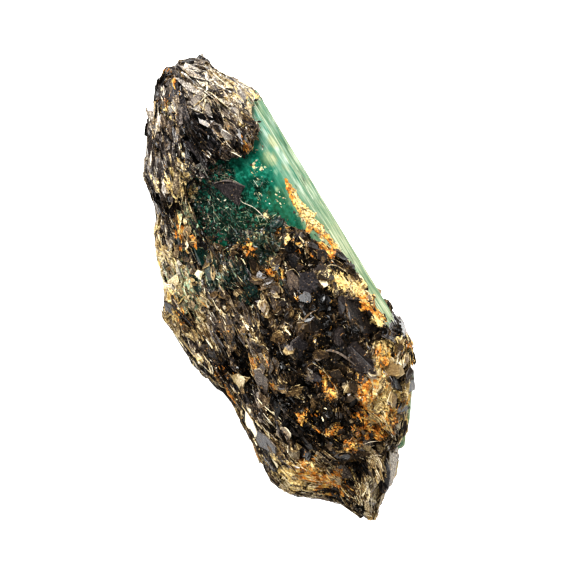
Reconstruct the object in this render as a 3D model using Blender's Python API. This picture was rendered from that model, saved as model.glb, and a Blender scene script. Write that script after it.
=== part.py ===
"""Emerald crystal in its mica schist matrix, a hand specimen lying on its back.

Metres, +Z up. +Y runs along the crystal's long axis towards the capped end, +X towards its bare flank,
and the origin is on the resting face, under the middle of the specimen. Tables and sizes are in millimetres
and are scaled by MM where a shape is made.
"""

import math
import random

import bmesh
import bpy
from mathutils import Matrix, Vector, noise
from mathutils.bvhtree import BVHTree

MM = 0.001

# The crystal: a six-sided prism, rolled about its own axis, broken at both ends.
ACROSS_FLATS = 16.0
ROLL = 20.0
AXIS_X, AXIS_Z = 3.8, 10.5
CRYSTAL_TOP, CRYSTAL_FOOT = 22.2, -24.6
PRISM_REACH = 40.0
BREAKS = [
    ((AXIS_X, CRYSTAL_TOP, AXIS_Z), (-0.05, 1.0, 0.22)),
    ((AXIS_X - 5.0, CRYSTAL_TOP - 2.2, AXIS_Z + 5.0), (-0.75, 1.0, 0.4)),
    ((-3.3, 18.0, 4.6), (-0.8, 0.8, -0.45)),
    ((5.4, 18.0, 1.6), (0.1, 0.45, -1.0)),
    ((AXIS_X, CRYSTAL_FOOT, AXIS_Z), (-0.1, -1.0, 0.1)),
    ((12.3, -9.6, AXIS_Z), (0.973, -0.232, 0.0)),
    ((8.6, -20.2, AXIS_Z), (0.8, -0.6, 0.0)),
    ((4.0, -16.0, 16.6), (0.3, -0.75, 1.0)),
    ((5.4, -15.0, 1.6), (0.2, -0.42, -1.0)),
    ((AXIS_X - 6.0, CRYSTAL_FOOT + 4.0, AXIS_Z + 1.0), (-0.8, -0.7, 0.35)),
]
BLOCK = 120.0
# A chip along the arris between the front face and the bare flank: where along Y, half length and width, depth.
CHIP_Y, CHIP_LENGTH, CHIP_WIDTH, CHIP_DEPTH = 4.8, 6.4, 2.2, 0.4
STEPS_PER_FACE = 5
STEP_DEPTH, STEP_WIDTH = 0.22, 0.03
CLEARANCE = 0.3

# The schist: how far it reaches along Y, and its outline seen from above as (y, x).
NORTH, SOUTH = 31.5, -31.5
RIGHT_EDGE = [
    (31.5, 8.0), (30.6, 9.2), (28.5, 9.1), (26.4, 10.0), (24.4, 11.5), (22.6, 12.4), (8.0, 12.5),
    (-14.0, 12.5), (-15.2, 12.0), (-18.0, 10.5), (-20.2, 9.1), (-22.0, 7.4), (-23.2, 6.8), (-25.0, 4.0),
    (-26.2, 3.1), (-28.0, 1.4), (-29.0, -0.8), (-30.2, -1.7), (-31.5, -2.4),
]
LEFT_EDGE = [
    (31.5, 4.4), (30.8, 2.9), (29.1, 1.6), (27.2, 0.0), (25.4, -2.1), (22.4, -4.0), (20.4, -5.3),
    (18.4, -5.7), (15.3, -6.9), (12.3, -9.1), (10.3, -10.0), (8.0, -10.2), (5.2, -12.5), (4.0, -12.8),
    (1.0, -12.4), (-3.8, -12.3), (-6.0, -11.4), (-10.5, -11.0), (-14.0, -11.5), (-20.0, -11.4),
    (-22.0, -11.1), (-24.0, -9.0), (-26.0, -6.5), (-28.0, -5.3), (-30.0, -4.7), (-31.5, -3.8),
]
# Heights along Y as (y, z): the crest, the underside and the level of the outline on each flank.
CREST = [
    (31.5, 10.5), (30.0, 13.2), (27.5, 17.0), (24.5, 20.0), (21.5, 21.5), (12.0, 21.3), (4.0, 21.4),
    (-4.0, 21.8), (-10.0, 21.5), (-16.0, 19.8), (-21.0, 16.8), (-25.0, 13.0), (-28.0, 10.0), (-31.5, 6.2),
]
UNDERSIDE = [
    (31.5, 7.5), (29.0, 4.8), (25.0, 2.2), (20.0, 0.3), (15.0, -1.1), (0.0, -1.6), (-13.0, -1.2),
    (-18.0, -0.4), (-23.0, 1.2), (-27.0, 2.6), (-31.5, 4.2),
]
RIGHT_LEVEL = [(31.5, 8.6), (22.0, 7.4), (-12.0, 7.3), (-22.0, 7.6), (-31.5, 5.2)]
LEFT_LEVEL = [(31.5, 9.0), (20.0, 9.6), (5.0, 8.4), (-20.0, 7.2), (-31.5, 5.4)]
CREST_X = [(31.5, 6.2), (25.0, 4.6), (15.0, 3.4), (0.0, 3.0), (-14.0, 2.0), (-22.0, -0.8), (-31.5, -3.0)]
# The shell of schist left on the crystal's lower bare face, as (y, thickness).
SHELL_ANGLE = 140.0
SHELL = [(31.5, 9.0), (24.0, 6.0), (19.0, 1.9), (8.0, 1.4), (-5.0, 1.7), (-12.5, 6.0), (-31.5, 9.0)]
# How square the shoulders are, as powers of cosine and sine: under 1 bulges, 1 is an ellipse and 2 is a
# straight slope.
RIGHT_SHOULDER = 0.58
LEFT_SHOULDER = [
    (31.5, 0.9), (21.0, 0.8), (16.0, 0.9), (9.0, 1.6), (2.0, 1.6), (-10.0, 1.15), (-20.0, 0.85), (-31.5, 0.9),
]
UNDER_SHOULDER = 0.68
RINGS, RING_POINTS = 46, 42

# Where the schist has broken away from the crystal, seen from above as (x, y), closed off beyond the bare
# flank.
WINDOW = [
    (12.9, 21.4), (11.2, 21.5), (9.6, 20.8), (8.7, 20.2), (9.4, 19.2), (10.2, 18.3), (8.8, 17.7),
    (7.8, 16.6), (6.6, 16.1), (4.1, 17.1), (2.2, 17.2), (0.8, 16.8), (-0.9, 17.6), (-1.9, 16.6),
    (-2.4, 14.8), (-2.8, 12.4), (-2.6, 9.9), (-1.5, 7.8), (0.7, 7.1), (2.4, 6.3), (4.4, 6.9), (5.7, 7.4),
    (6.8, 5.9), (8.1, 4.6), (8.5, 3.1), (9.3, 2.2), (10.0, 0.6), (10.5, -1.4), (10.7, -3.6), (11.1, -5.7),
    (11.6, -7.5), (12.3, -9.6), (15.0, -9.6), (15.0, 21.4),
]
WINDOW_FLOOR = 6.6
# The broken edge of the shell below the window, seen from the bare flank as (y, z).
SHELL_EDGE = [
    (21.8, 7.4), (20.4, 5.6), (18.0, 5.0), (15.4, 3.7), (12.2, 4.5), (9.6, 3.3), (6.2, 3.9), (3.1, 5.2),
    (0.4, 4.1), (-3.0, 5.5), (-6.4, 4.8), (-9.2, 6.2), (-9.8, 8.4), (21.8, 8.4),
]
SHELL_EDGE_FROM = 6.9
RIM_NOTCH = [(10.3, -17.0), (12.5, -16.6), (7.5, -26.0), (4.6, -26.0), (4.4, -24.8), (7.2, -21.6)]
RIM_NOTCH_LOW, RIM_NOTCH_HIGH = 4.6, 12.5
LIP_CAP, LIP_LEFT, LIP_FRONT = 1.9, 0.8, 1.3
LIP_SLOPE, LIP_REACH = 0.9, 4.0

# The splintery grain: ridges long in Y, narrow across, and cut into steps.
GRAIN_ACROSS, GRAIN_ALONG = 2.6, 9.0
GRAIN_HEIGHT, GRAIN_AT_OUTLINE = 1.7, 0.3
GRAIN_BIAS = 0.3
GRAIN_STEPS = 5
GRAIN_SHEAR = 0.12

# Mica grown in the schist, as (name, count, x range, y range, half length, half width, thickness, most tilt).
BOOKS = [
    ("front_book", 34, (-3.0, 12.0), (-20.0, 5.0), (1.2, 2.3), (0.9, 1.6), (0.6, 1.1), 40.0),
    ("cap_book", 9, (-1.0, 10.0), (18.0, 28.0), (1.3, 2.6), (0.9, 1.7), (0.5, 0.9), 38.0),
    ("side_book", 9, (-12.0, -3.0), (-4.0, 12.0), (1.0, 1.8), (0.8, 1.3), (0.5, 0.9), 45.0),
]
BLADES = [
    ("slope_blade", 34, (-11.5, 0.0), (-24.0, 4.0), (3.0, 5.5), (0.9, 1.7), (0.5, 0.9), 60.0),
    ("tail_blade", 20, (-5.0, 3.0), (-29.5, -22.0), (2.4, 4.2), (0.7, 1.3), (0.4, 0.8), 50.0),
    ("cap_blade", 18, (-2.0, 9.5), (20.0, 29.5), (2.4, 4.2), (0.8, 1.4), (0.4, 0.8), 55.0),
]
UNDER_BLADES = ("under_blade", 16, (-11.0, 10.0), (-26.0, 28.0), (2.2, 4.6), (0.9, 1.6), (0.5, 0.9), 35.0)
SUNK = 0.35
SEED = 41
FLAT_WITHIN = 0.15


def clear_scene():
    for obj in list(bpy.data.objects):
        bpy.data.objects.remove(obj)


def new_collection(name):
    collection = bpy.data.collections.new(name)
    bpy.context.scene.collection.children.link(collection)
    return collection


def new_object(name, bm, collection):
    """Turns a bmesh in millimetres into an object in metres."""
    bmesh.ops.scale(bm, vec=(MM, MM, MM), verts=bm.verts)
    mesh = bpy.data.meshes.new(name)
    bm.to_mesh(mesh)
    bm.free()
    obj = bpy.data.objects.new(name, mesh)
    collection.objects.link(obj)
    return obj


def hide_as_helper(obj):
    obj.hide_render = True
    obj.display_type = "WIRE"


def finish(name, colour, roughness):
    material = bpy.data.materials.new(name)
    material.use_nodes = True
    shader = material.node_tree.nodes["Principled BSDF"]
    shader.inputs["Base Color"].default_value = (*colour, 1.0)
    shader.inputs["Roughness"].default_value = roughness
    shader.inputs["Metallic"].default_value = 0.0
    return material


def along(table, at):
    """The value at a place in a table of (place, value) whose places fall from first to last."""
    if at >= table[0][0]:
        return table[0][1]
    for (high, a), (low, b) in zip(table, table[1:]):
        if at >= low:
            return a + (b - a) * (high - at) / (high - low)
    return table[-1][1]


def face_angles():
    """The directions that the prism's six faces look in, clockwise from +Z towards +X."""
    return [math.radians(ROLL + 60.0 * k) for k in range(6)]


def prism_height(x):
    """How high the whole prism's upper faces stand at x, or None beside it."""
    heights = []
    for angle in face_angles():
        if math.cos(angle) > 0.01:
            heights.append(AXIS_Z + (ACROSS_FLATS / 2 - (x - AXIS_X) * math.sin(angle)) / math.cos(angle))
    top = min(heights)
    return top if top > AXIS_Z - ACROSS_FLATS / 4 else None


def prism_section(grow, stepped):
    """Points of the prism's cross-section as (x, z), with growth steps that only ever cut into the faces."""
    half = ACROSS_FLATS / 2 + grow
    rng = random.Random(SEED)
    points = []
    for angle in face_angles():
        out = Vector((math.sin(angle), math.cos(angle)))
        side = Vector((math.cos(angle), -math.sin(angle)))
        reach = half * math.tan(math.radians(30.0))
        if not stepped:
            points.append(out * half + side * reach)
            continue
        spacing = 1.6 / (STEPS_PER_FACE - 1)
        cuts = [-0.8 + spacing * (k + rng.uniform(0.2, 0.8)) for k in range(STEPS_PER_FACE - 1)]
        depths = [0.0] + [rng.uniform(0.3, 1.0) * STEP_DEPTH for _ in cuts]
        rng.shuffle(depths)
        for k, cut in enumerate(cuts):
            for depth, nudge in ((depths[k], -STEP_WIDTH), (depths[k + 1], STEP_WIDTH)):
                points.append(out * (half - depth) + side * reach * (cut + nudge))
        points.append(out * (half - STEP_DEPTH / 2) + side * (reach - STEP_DEPTH / 4))
    return [(AXIS_X + p.x, AXIS_Z + p.y) for p in points]


def extruded(points, low, high, turn, collection, name):
    """A flat outline in millimetres as a filled curve, given its thickness from low to high, as a mesh."""
    curve = bpy.data.curves.new(name, "CURVE")
    curve.dimensions = "2D"
    curve.fill_mode = "BOTH"
    curve.extrude = (high - low) / 2 * MM
    spline = curve.splines.new("POLY")
    spline.points.add(len(points) - 1)
    for point, (a, b) in zip(spline.points, points):
        point.co = (a * MM, b * MM, 0.0, 1.0)
    spline.use_cyclic_u = True
    guide = bpy.data.objects.new(name + "_outline", curve)
    bpy.context.scene.collection.objects.link(guide)
    guide.matrix_world = turn @ Matrix.Translation((0, 0, (low + high) / 2 * MM))
    bpy.context.view_layer.update()
    mesh = bpy.data.meshes.new_from_object(guide.evaluated_get(bpy.context.evaluated_depsgraph_get()))
    mesh.transform(guide.matrix_world)
    bpy.data.objects.remove(guide)
    bm = bmesh.new()
    bm.from_mesh(mesh)
    bmesh.ops.remove_doubles(bm, verts=bm.verts, dist=1e-6)
    bmesh.ops.triangulate(bm, faces=bm.faces)
    bmesh.ops.recalc_face_normals(bm, faces=bm.faces)
    bm.to_mesh(mesh)
    bm.free()
    obj = bpy.data.objects.new(name, mesh)
    collection.objects.link(obj)
    return obj


def break_plane(name, point, normal, collection):
    """A block that takes away whatever lies beyond a plane. The point is in millimetres."""
    away = Vector(normal).normalized()
    bm = bmesh.new()
    bmesh.ops.create_cube(bm, size=BLOCK)
    turn = Vector((0, 0, 1)).rotation_difference(away).to_matrix().to_4x4()
    bmesh.ops.transform(bm, matrix=Matrix.Translation(Vector(point) + away * BLOCK / 2) @ turn, verts=bm.verts)
    block = new_object(name, bm, collection)
    hide_as_helper(block)
    return block


def prism(name, grow, stepped, collection, cutters):
    """The crystal's body, grown by a margin: an extruded section, broken off obliquely at both ends."""
    upright = Matrix.Rotation(math.radians(90.0), 4, "X")
    body = extruded(prism_section(grow, stepped), -PRISM_REACH, PRISM_REACH, upright, collection, name)
    for k, (point, normal) in enumerate(BREAKS):
        away = Vector(normal).normalized()
        block = break_plane(f"{name}_break_{k + 1}", Vector(point) + away * grow, away, cutters)
        boolean(body, "DIFFERENCE", block)
        applied(body)
    return body


def distance_to_window(x, y):
    """How far a point lies outside the window's outline, in millimetres, and 0 inside it."""
    best, inside = 1e9, False
    for (ax, ay), (bx, by) in zip(WINDOW, WINDOW[1:] + WINDOW[:1]):
        run = Vector((bx - ax, by - ay))
        t = max(0.0, min(1.0, Vector((x - ax, y - ay)).dot(run) / run.length_squared))
        best = min(best, (Vector((ax, ay)) + run * t - Vector((x, y))).length)
        if (ay > y) != (by > y) and x < ax + (bx - ax) * (y - ay) / (by - ay):
            inside = not inside
    return 0.0 if inside else best


def lip_height(x, y):
    """How far the schist stands above the crystal at the window's edge."""
    if y > 16.0:
        return LIP_CAP
    return LIP_LEFT if x < 4.0 else LIP_FRONT


def power(value, exponent):
    return math.copysign(abs(value) ** exponent, value)


def grain(x, y, z):
    """Stepped ridges that run along Y, from -1 to 1."""
    place = Vector(((x - GRAIN_SHEAR * y) / GRAIN_ACROSS, y / GRAIN_ALONG, z / GRAIN_ACROSS))
    raw = 1.3 * noise.noise(place) + 0.6 * noise.noise(place * 2.3)
    stepped = round(raw * GRAIN_STEPS) / GRAIN_STEPS
    return max(-1.0, min(1.0, 0.75 * stepped + 0.25 * raw))


def rock_point(turn, y):
    """A point on the schist's outer surface: turn is 0 on the bare flank and a quarter turn on the crest."""
    right, left, crest_x = along(RIGHT_EDGE, y), along(LEFT_EDGE, y), along(CREST_X, y)
    across, up = math.cos(turn), math.sin(turn)
    shoulder = RIGHT_SHOULDER if across > 0 else along(LEFT_SHOULDER, y)
    level = along(RIGHT_LEVEL if across > 0 else LEFT_LEVEL, y)
    if up < 0:
        shoulder = UNDER_SHOULDER
    level += (along(RIGHT_LEVEL, y) + along(LEFT_LEVEL, y) - 2 * level) / 2 * (1 - abs(across)) ** 2
    x = crest_x + (right - crest_x if across > 0 else crest_x - left) * power(across, shoulder)
    rise = along(CREST, y) - level if up > 0 else level - along(UNDERSIDE, y)
    z = level + rise * power(up, shoulder)
    ridge = grain(x, y, z) - GRAIN_BIAS
    size = GRAIN_HEIGHT + (GRAIN_AT_OUTLINE - GRAIN_HEIGHT) * abs(across) ** 3
    x += size * ridge * across
    z += size * ridge * up
    if up > 0:
        away, face = distance_to_window(x, y), prism_height(x)
        if face is not None and away < LIP_REACH:
            z = min(z, face + lip_height(x, y) + LIP_SLOPE * away + 0.4 * ridge)
        return Vector((x, y, z))
    out = Vector((math.sin(math.radians(SHELL_ANGLE)), math.cos(math.radians(SHELL_ANGLE))))
    proud = out.dot((x - AXIS_X, z - AXIS_Z)) - ACROSS_FLATS / 2 - along(SHELL, y) - 0.3 * ridge
    inward = out * max(0.0, proud)
    return Vector((x - inward.x, y, z - inward.y))


def schist_body(collection):
    """The lump of schist: a sphere whose rings become the sections of the rock, closed by its two poles."""
    bm = bmesh.new()
    bmesh.ops.create_uvsphere(bm, u_segments=RING_POINTS, v_segments=RINGS, radius=1.0)
    for vert in bm.verts:
        ring = math.acos(max(-1.0, min(1.0, vert.co.z))) / math.pi
        y = NORTH + (SOUTH - NORTH) * ring
        if abs(vert.co.z) > 1 - 1e-6:
            level = (along(CREST, y) + along(UNDERSIDE, y)) / 2
            vert.co = Vector(((along(RIGHT_EDGE, y) + along(LEFT_EDGE, y)) / 2, y, level))
        else:
            vert.co = rock_point(math.atan2(vert.co.y, vert.co.x), y)
    bmesh.ops.triangulate(bm, faces=bm.faces)
    bmesh.ops.recalc_face_normals(bm, faces=bm.faces)
    return new_object("mica_schist", bm, collection)


def six_sided_plate(name, centre, normal, spin, half_length, half_width, thickness, rng, collection):
    """A six-sided plate: its long way runs along Y before it is tilted to its normal and spun."""
    bm = bmesh.new()
    bmesh.ops.create_cone(
        bm, cap_ends=True, cap_tris=True, segments=6, radius1=1.0, radius2=rng.uniform(0.8, 0.95), depth=1.0
    )
    wobble = [rng.uniform(0.8, 1.1) for _ in range(6)]
    for vert in bm.verts:
        corner = round(math.atan2(vert.co.y, vert.co.x) / math.radians(60.0)) % 6
        vert.co.x *= half_width * wobble[corner]
        vert.co.y *= half_length * wobble[corner]
        vert.co.z *= thickness
    tilt = Vector((0, 0, 1)).rotation_difference(normal).to_matrix().to_4x4()
    placed = Matrix.Translation(centre) @ tilt @ Matrix.Rotation(spin, 4, "Z")
    bmesh.ops.transform(bm, matrix=placed, verts=bm.verts)
    bmesh.ops.recalc_face_normals(bm, faces=bm.faces)
    plate = new_object(name, bm, collection)
    hide_as_helper(plate)
    return plate


def arris_chip(rng, collection):
    """The sliver that has come off the arris between the front face and the bare flank."""
    angle = math.radians(ROLL + 30.0)
    out = Vector((math.sin(angle), 0.0, math.cos(angle)))
    thickness = 3.0
    arris = ACROSS_FLATS / 2 / math.cos(math.radians(30.0))
    centre = Vector((AXIS_X, CHIP_Y, AXIS_Z)) + out * (arris - CHIP_DEPTH + thickness / 2)
    return six_sided_plate(
        "arris_chip_cutter", centre, out, 0.0, CHIP_LENGTH, CHIP_WIDTH, thickness, rng, collection,
    )


def inside_outline(centre, half_length, half_width, spin):
    """Whether a plate's four ends stay over the schist's outline."""
    for angle, reach in ((90, half_length), (270, half_length), (0, half_width), (180, half_width)):
        x = centre.x + reach * math.cos(math.radians(angle) + spin)
        y = centre.y + reach * math.sin(math.radians(angle) + spin)
        if not (SOUTH < y < NORTH and along(LEFT_EDGE, y) < x < along(RIGHT_EDGE, y)):
            return False
    return True


def scatter_mica(rock, zone, elongated, from_below, rng, collection):
    """Sets plates into the rock's surface, found by a ray from above or from below."""
    name, count, xs, ys, half_lengths, half_widths, thicknesses, most_tilt = zone
    bm = bmesh.new()
    bm.from_mesh(rock.data)
    surface = BVHTree.FromBMesh(bm)
    bm.free()
    for k in range(count):
        x, y = rng.uniform(*xs), rng.uniform(*ys)
        start, way = (Vector((x, y, -30.0)), Vector((0, 0, 1))) if from_below else (
            Vector((x, y, 60.0)), Vector((0, 0, -1)))
        hit, face_normal, _, _ = surface.ray_cast(start * MM, way)
        if hit is None:
            continue
        tilt = math.radians(rng.uniform(0.0, most_tilt))
        lean = Matrix.Rotation(tilt * rng.choice((-1, 1)), 3, "Y") @ Matrix.Rotation(
            rng.uniform(-0.3, 0.3), 3, "X")
        normal = (face_normal + lean @ -way).normalized()
        thickness = rng.uniform(*thicknesses)
        spin = rng.uniform(-0.25, 0.25) if elongated else rng.uniform(0.0, math.pi)
        half_length, half_width = rng.uniform(*half_lengths), rng.uniform(*half_widths)
        centre = hit / MM - normal * thickness * SUNK
        if inside_outline(centre, half_length, half_width, spin):
            six_sided_plate(
                f"{name}_{k + 1}", centre, normal, spin, half_length, half_width, thickness, rng, collection
            )


def boolean(obj, operation, other):
    """Joins or cuts, with one object or with a whole collection."""
    modifier = obj.modifiers.new(operation.title(), "BOOLEAN")
    modifier.operation = operation
    modifier.solver = "EXACT"
    if isinstance(other, bpy.types.Collection):
        modifier.operand_type = "COLLECTION"
        modifier.collection = other
    else:
        modifier.object = other
    return modifier


def applied(obj):
    """Bakes the object's modifiers into its mesh and keeps only its largest body."""
    bpy.context.view_layer.update()
    mesh = bpy.data.meshes.new_from_object(obj.evaluated_get(bpy.context.evaluated_depsgraph_get()))
    obj.modifiers.clear()
    bm = bmesh.new()
    bm.from_mesh(mesh)
    bmesh.ops.remove_doubles(bm, verts=bm.verts, dist=0.004 * MM)
    bodies, seen = [], set()
    for first in bm.faces:
        if first in seen:
            continue
        body, todo = set(), [first]
        while todo:
            face = todo.pop()
            if face not in body:
                body.add(face)
                todo += [other for edge in face.edges if edge.is_manifold for other in edge.link_faces]
        seen |= body
        bodies.append(body)
    largest = max(bodies, key=len)
    bmesh.ops.delete(bm, geom=[face for face in bm.faces if face not in largest], context="FACES")
    bmesh.ops.dissolve_limit(bm, angle_limit=math.radians(FLAT_WITHIN), verts=bm.verts, edges=bm.edges)
    bmesh.ops.triangulate(bm, faces=bm.faces)
    bm.to_mesh(mesh)
    bm.free()
    obj.data = mesh


def build():
    clear_scene()
    specimen = new_collection("emerald_specimen")
    cutters = new_collection("cutters")
    mica = new_collection("mica")
    level = Matrix.Identity(4)

    crystal = prism("emerald_crystal", 0.0, True, specimen, cutters)
    rock = schist_body(specimen)
    rng = random.Random(SEED)
    for zone in BOOKS:
        scatter_mica(rock, zone, False, False, rng, mica)
    for zone in BLADES:
        scatter_mica(rock, zone, True, False, rng, mica)
    scatter_mica(rock, UNDER_BLADES, True, True, rng, mica)

    pocket = prism("crystal_pocket", CLEARANCE, False, cutters, cutters)
    chip = arris_chip(rng, cutters)
    boolean(crystal, "DIFFERENCE", chip)
    applied(crystal)
    window = extruded(WINDOW, WINDOW_FLOOR, 40.0, level, cutters, "window_cutter")
    notch = extruded(RIM_NOTCH, RIM_NOTCH_LOW, RIM_NOTCH_HIGH, level, cutters, "rim_notch_cutter")
    sideways = Matrix(((0, 0, 1, 0), (1, 0, 0, 0), (0, 1, 0, 0), (0, 0, 0, 1)))
    edge = extruded(SHELL_EDGE, SHELL_EDGE_FROM, 2 * SHELL_EDGE_FROM, sideways, cutters, "shell_edge_cutter")
    for cutter in (pocket, window, notch, edge):
        hide_as_helper(cutter)
    ground = break_plane("ground_plane", (0, 0, 0), (0, 0, -1), cutters)
    boolean(rock, "UNION", mica)
    applied(rock)
    for cutter in (ground, pocket, window, edge, notch):
        boolean(rock, "DIFFERENCE", cutter)
        applied(rock)

    crystal.data.materials.append(finish("emerald", (0.05, 0.42, 0.27), 0.18))
    rock.data.materials.clear()
    rock.data.materials.append(finish("mica_schist", (0.10, 0.085, 0.07), 0.45))


build()
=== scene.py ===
"""An emerald crystal in mica schist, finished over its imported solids.

The tables are in millimetres, in the solids' own frame: +Y runs along the crystal towards its capped end,
+X towards its bare flank, and +Z is up, out of the face that shows the green window.
"""

import itertools
import math

import bmesh
import bpy
import numpy as np
from mathutils import Matrix, Vector
from mathutils.bvhtree import BVHTree


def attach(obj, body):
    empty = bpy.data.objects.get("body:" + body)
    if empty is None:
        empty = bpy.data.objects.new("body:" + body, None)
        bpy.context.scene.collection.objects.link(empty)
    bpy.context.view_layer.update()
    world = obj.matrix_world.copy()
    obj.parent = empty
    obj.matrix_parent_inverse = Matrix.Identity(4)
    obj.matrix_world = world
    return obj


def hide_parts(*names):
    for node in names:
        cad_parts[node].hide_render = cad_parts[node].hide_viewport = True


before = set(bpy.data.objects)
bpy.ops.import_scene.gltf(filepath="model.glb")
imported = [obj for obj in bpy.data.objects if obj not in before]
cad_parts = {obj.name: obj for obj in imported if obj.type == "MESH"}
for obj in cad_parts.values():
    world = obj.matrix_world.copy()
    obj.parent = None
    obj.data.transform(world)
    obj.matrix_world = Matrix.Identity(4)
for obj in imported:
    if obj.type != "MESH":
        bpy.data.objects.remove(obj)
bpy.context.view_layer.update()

MM = 0.001
SEED = 20
# The middle of the crystal's prism, across the specimen and up, and how far its faces are from there.
AXIS_X, AXIS_Z, AXIS_REACH = 3.8, 10.5, 8.0
# The schist's cap over the crystal's end begins at the first Y and is whole at the second.
CAP_START, CAP_WHOLE = 17.0, 19.5
# The bare flank stands at this X, down to this Y.
FLANK_X, FLANK_END_Y = 12.45, -6.5
# Heights: the foot is below the first, the front is above the second, what is nearest is looked for from the
# third, and what is on top from the fourth.
FOOT_Z, FRONT_Z, MIDDLE_Z, OVERHEAD_Z = 0.6, 8.0, 12.0, 60.0
# What faces up by at least this much is the crystal's front.
FACING_UP = 0.3

# Which way the mica's long edges lie, as (x, y, degrees towards +X on the way to -Y, reach).
LAY = [
    (5.0, 27.5, 14.0, 3.5), (1.1, 26.9, -30.0, 2.5), (-2.7, 21.8, -28.0, 4.0), (9.2, 23.0, 20.0, 3.5),
    (3.5, 21.0, 24.0, 2.5), (5.5, 18.5, 14.0, 3.0), (-6.0, 14.0, -24.0, 4.0), (-9.0, 6.0, -18.0, 4.0),
    (-10.0, -2.0, 0.0, 4.0), (-9.5, -10.0, 3.0, 4.0), (-8.5, -17.0, 6.0, 4.0), (-4.0, -8.0, 8.0, 4.0),
    (-2.0, -15.0, 17.0, 4.0), (-5.0, -22.0, 34.0, 4.0), (1.5, -20.0, 22.0, 4.0), (2.0, -5.0, 12.0, 4.0),
    (8.0, 2.0, -8.0, 3.0), (6.0, -14.5, -40.0, 3.0), (9.5, -17.0, -45.0, 4.0), (-1.0, -28.0, -30.0, 3.5),
    (4.0, -26.0, -38.0, 3.0), (-2.0, 4.0, -4.0, 4.0),
]

# Stains and tones on the schist, with a pale rim painted as light along its left outline, each patch as (x,
# y, radius, strength).
RUST = [
    (3.7, 29.0, 0.8, 0.6), (2.4, 27.6, 0.7, 0.6), (1.5, 26.9, 0.7, 0.7), (2.0, 25.2, 0.6, 0.4),
    (0.6, 24.0, 0.8, 0.3), (-2.6, 20.4, 0.8, 0.4), (7.6, 16.8, 0.7, 0.7), (-4.9, 12.4, 0.8, 1.0),
    (1.1, 6.2, 1.0, 0.8), (2.3, 1.9, 0.9, 0.8), (-0.2, 1.7, 0.8, 0.7), (8.7, 0.5, 0.8, 0.9),
    (9.6, 1.7, 0.9, 1.0), (-9.7, 4.6, 0.6, 1.0), (-6.8, -1.0, 0.9, 0.6), (2.4, -7.6, 0.9, 0.8),
    (11.1, -7.6, 1.3, 1.0), (10.1, -6.9, 1.1, 1.0), (11.8, -8.9, 1.0, 1.0), (8.3, -13.5, 1.0, 0.9),
    (6.4, -15.6, 1.0, 0.9), (4.5, -15.4, 0.9, 1.0), (3.9, -16.6, 0.9, 1.0), (3.2, -18.0, 0.9, 1.0),
    (2.7, -19.5, 1.0, 1.0), (1.5, -20.0, 1.1, 1.0), (0.4, -21.0, 1.0, 1.0), (3.2, -21.7, 1.0, 1.0),
    (5.5, -20.9, 0.9, 0.9), (-3.8, -15.0, 0.8, 0.9), (-1.9, -18.2, 0.8, 0.8), (-7.2, -19.8, 1.1, 1.0),
    (-6.6, -21.2, 1.2, 1.0), (-6.0, -22.5, 1.2, 1.0), (-5.2, -23.8, 1.2, 1.0), (-5.0, -25.0, 1.0, 0.9),
    (0.6, -12.1, 1.0, 0.8), (0.8, -13.7, 1.0, 0.8), (-9.8, -5.1, 0.8, 0.8), (10.8, -16.9, 0.9, 1.0),
    (-0.6, -20.8, 0.8, 0.8), (-5.4, -6.2, 0.9, 0.7), (5.6, 4.2, 0.7, 0.6), (3.4, -0.9, 0.5, 0.5),
    (-3.4, -23.4, 1.0, 0.8), (12.2, -14.4, 0.7, 0.9), (-5.4, -9.6, 0.7, 0.9), (7.6, -20.2, 0.7, 0.8),
]
CREAM = [
    (-1.6, 16.2, 1.2, 0.8), (9.0, -12.6, 0.9, 0.8), (8.4, -11.8, 0.8, 0.6), (5.4, -16.8, 1.0, 0.9),
    (4.2, -18.8, 0.8, 0.8), (8.1, -3.1, 1.2, 1.0), (7.6, -1.4, 0.7, 0.9), (-2.2, 17.8, 1.3, 1.0),
    (-0.6, 18.4, 1.1, 0.7), (0.7, 26.0, 0.7, 0.8), (0.9, 24.8, 0.9, 0.9), (10.7, -6.6, 1.0, 0.9),
    (10.2, -9.3, 0.9, 0.9), (11.1, -13.2, 0.9, 0.8), (12.0, -14.0, 0.9, 0.9), (7.5, -14.3, 1.2, 1.0),
    (6.2, -16.2, 1.3, 1.0), (5.2, -18.5, 1.4, 0.9), (4.6, -20.4, 1.0, 0.7), (6.9, -19.0, 1.3, 0.9),
    (3.4, -17.2, 0.8, 0.7), (8.6, -20.6, 1.0, 1.0), (7.2, -22.2, 1.1, 1.0), (9.8, -18.4, 1.0, 1.0),
    (11.5, -15.9, 0.9, 1.0), (-9.1, -20.3, 1.2, 1.0), (-9.6, -19.3, 1.0, 1.0), (-8.7, -21.9, 1.2, 1.0),
    (-7.5, -23.2, 1.1, 0.8), (-2.7, -24.2, 0.8, 0.6), (-11.0, 4.8, 0.9, 0.9), (-10.4, 7.1, 1.1, 0.9),
    (-8.0, 9.1, 1.0, 0.6), (-7.3, 15.0, 0.8, 1.0), (-9.7, 11.0, 0.9, 1.0), (-8.6, 12.6, 1.0, 0.7),
    (2.7, 3.2, 0.7, 0.5), (6.2, 4.6, 0.9, 0.8), (10.0, -5.0, 0.9, 0.8), (-11.4, 1.6, 1.0, 0.7),
    (-9.8, -17.6, 0.8, 0.8), (-0.8, 4.6, 1.2, 0.4), (6.6, 0.9, 0.8, 0.4), (-3.9, 5.6, 0.9, 0.4),
    # The patches near x -12 on this line and at the start of the next are painted light: a pale cream rim
    # along the lit left outline.
    (-12.2, -2.2, 0.6, 0.9), (-11.8, -6.6, 0.6, 0.9), (-11.9, -9.6, 0.6, 0.9), (-12.1, -13.0, 0.6, 0.9),
    (-12.1, -16.0, 0.6, 1.0), (12.0, 22.3, 0.9, 0.9), (10.2, 22.4, 1.0, 0.7), (-5.4, 13.8, 0.7, 0.5),
    (2.9, 7.4, 0.9, 0.6), (8.7, 20.0, 1.0, 0.7), (-6.2, -21.0, 0.8, 0.5), (8.9, -15.2, 0.9, 0.8),
]
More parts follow.
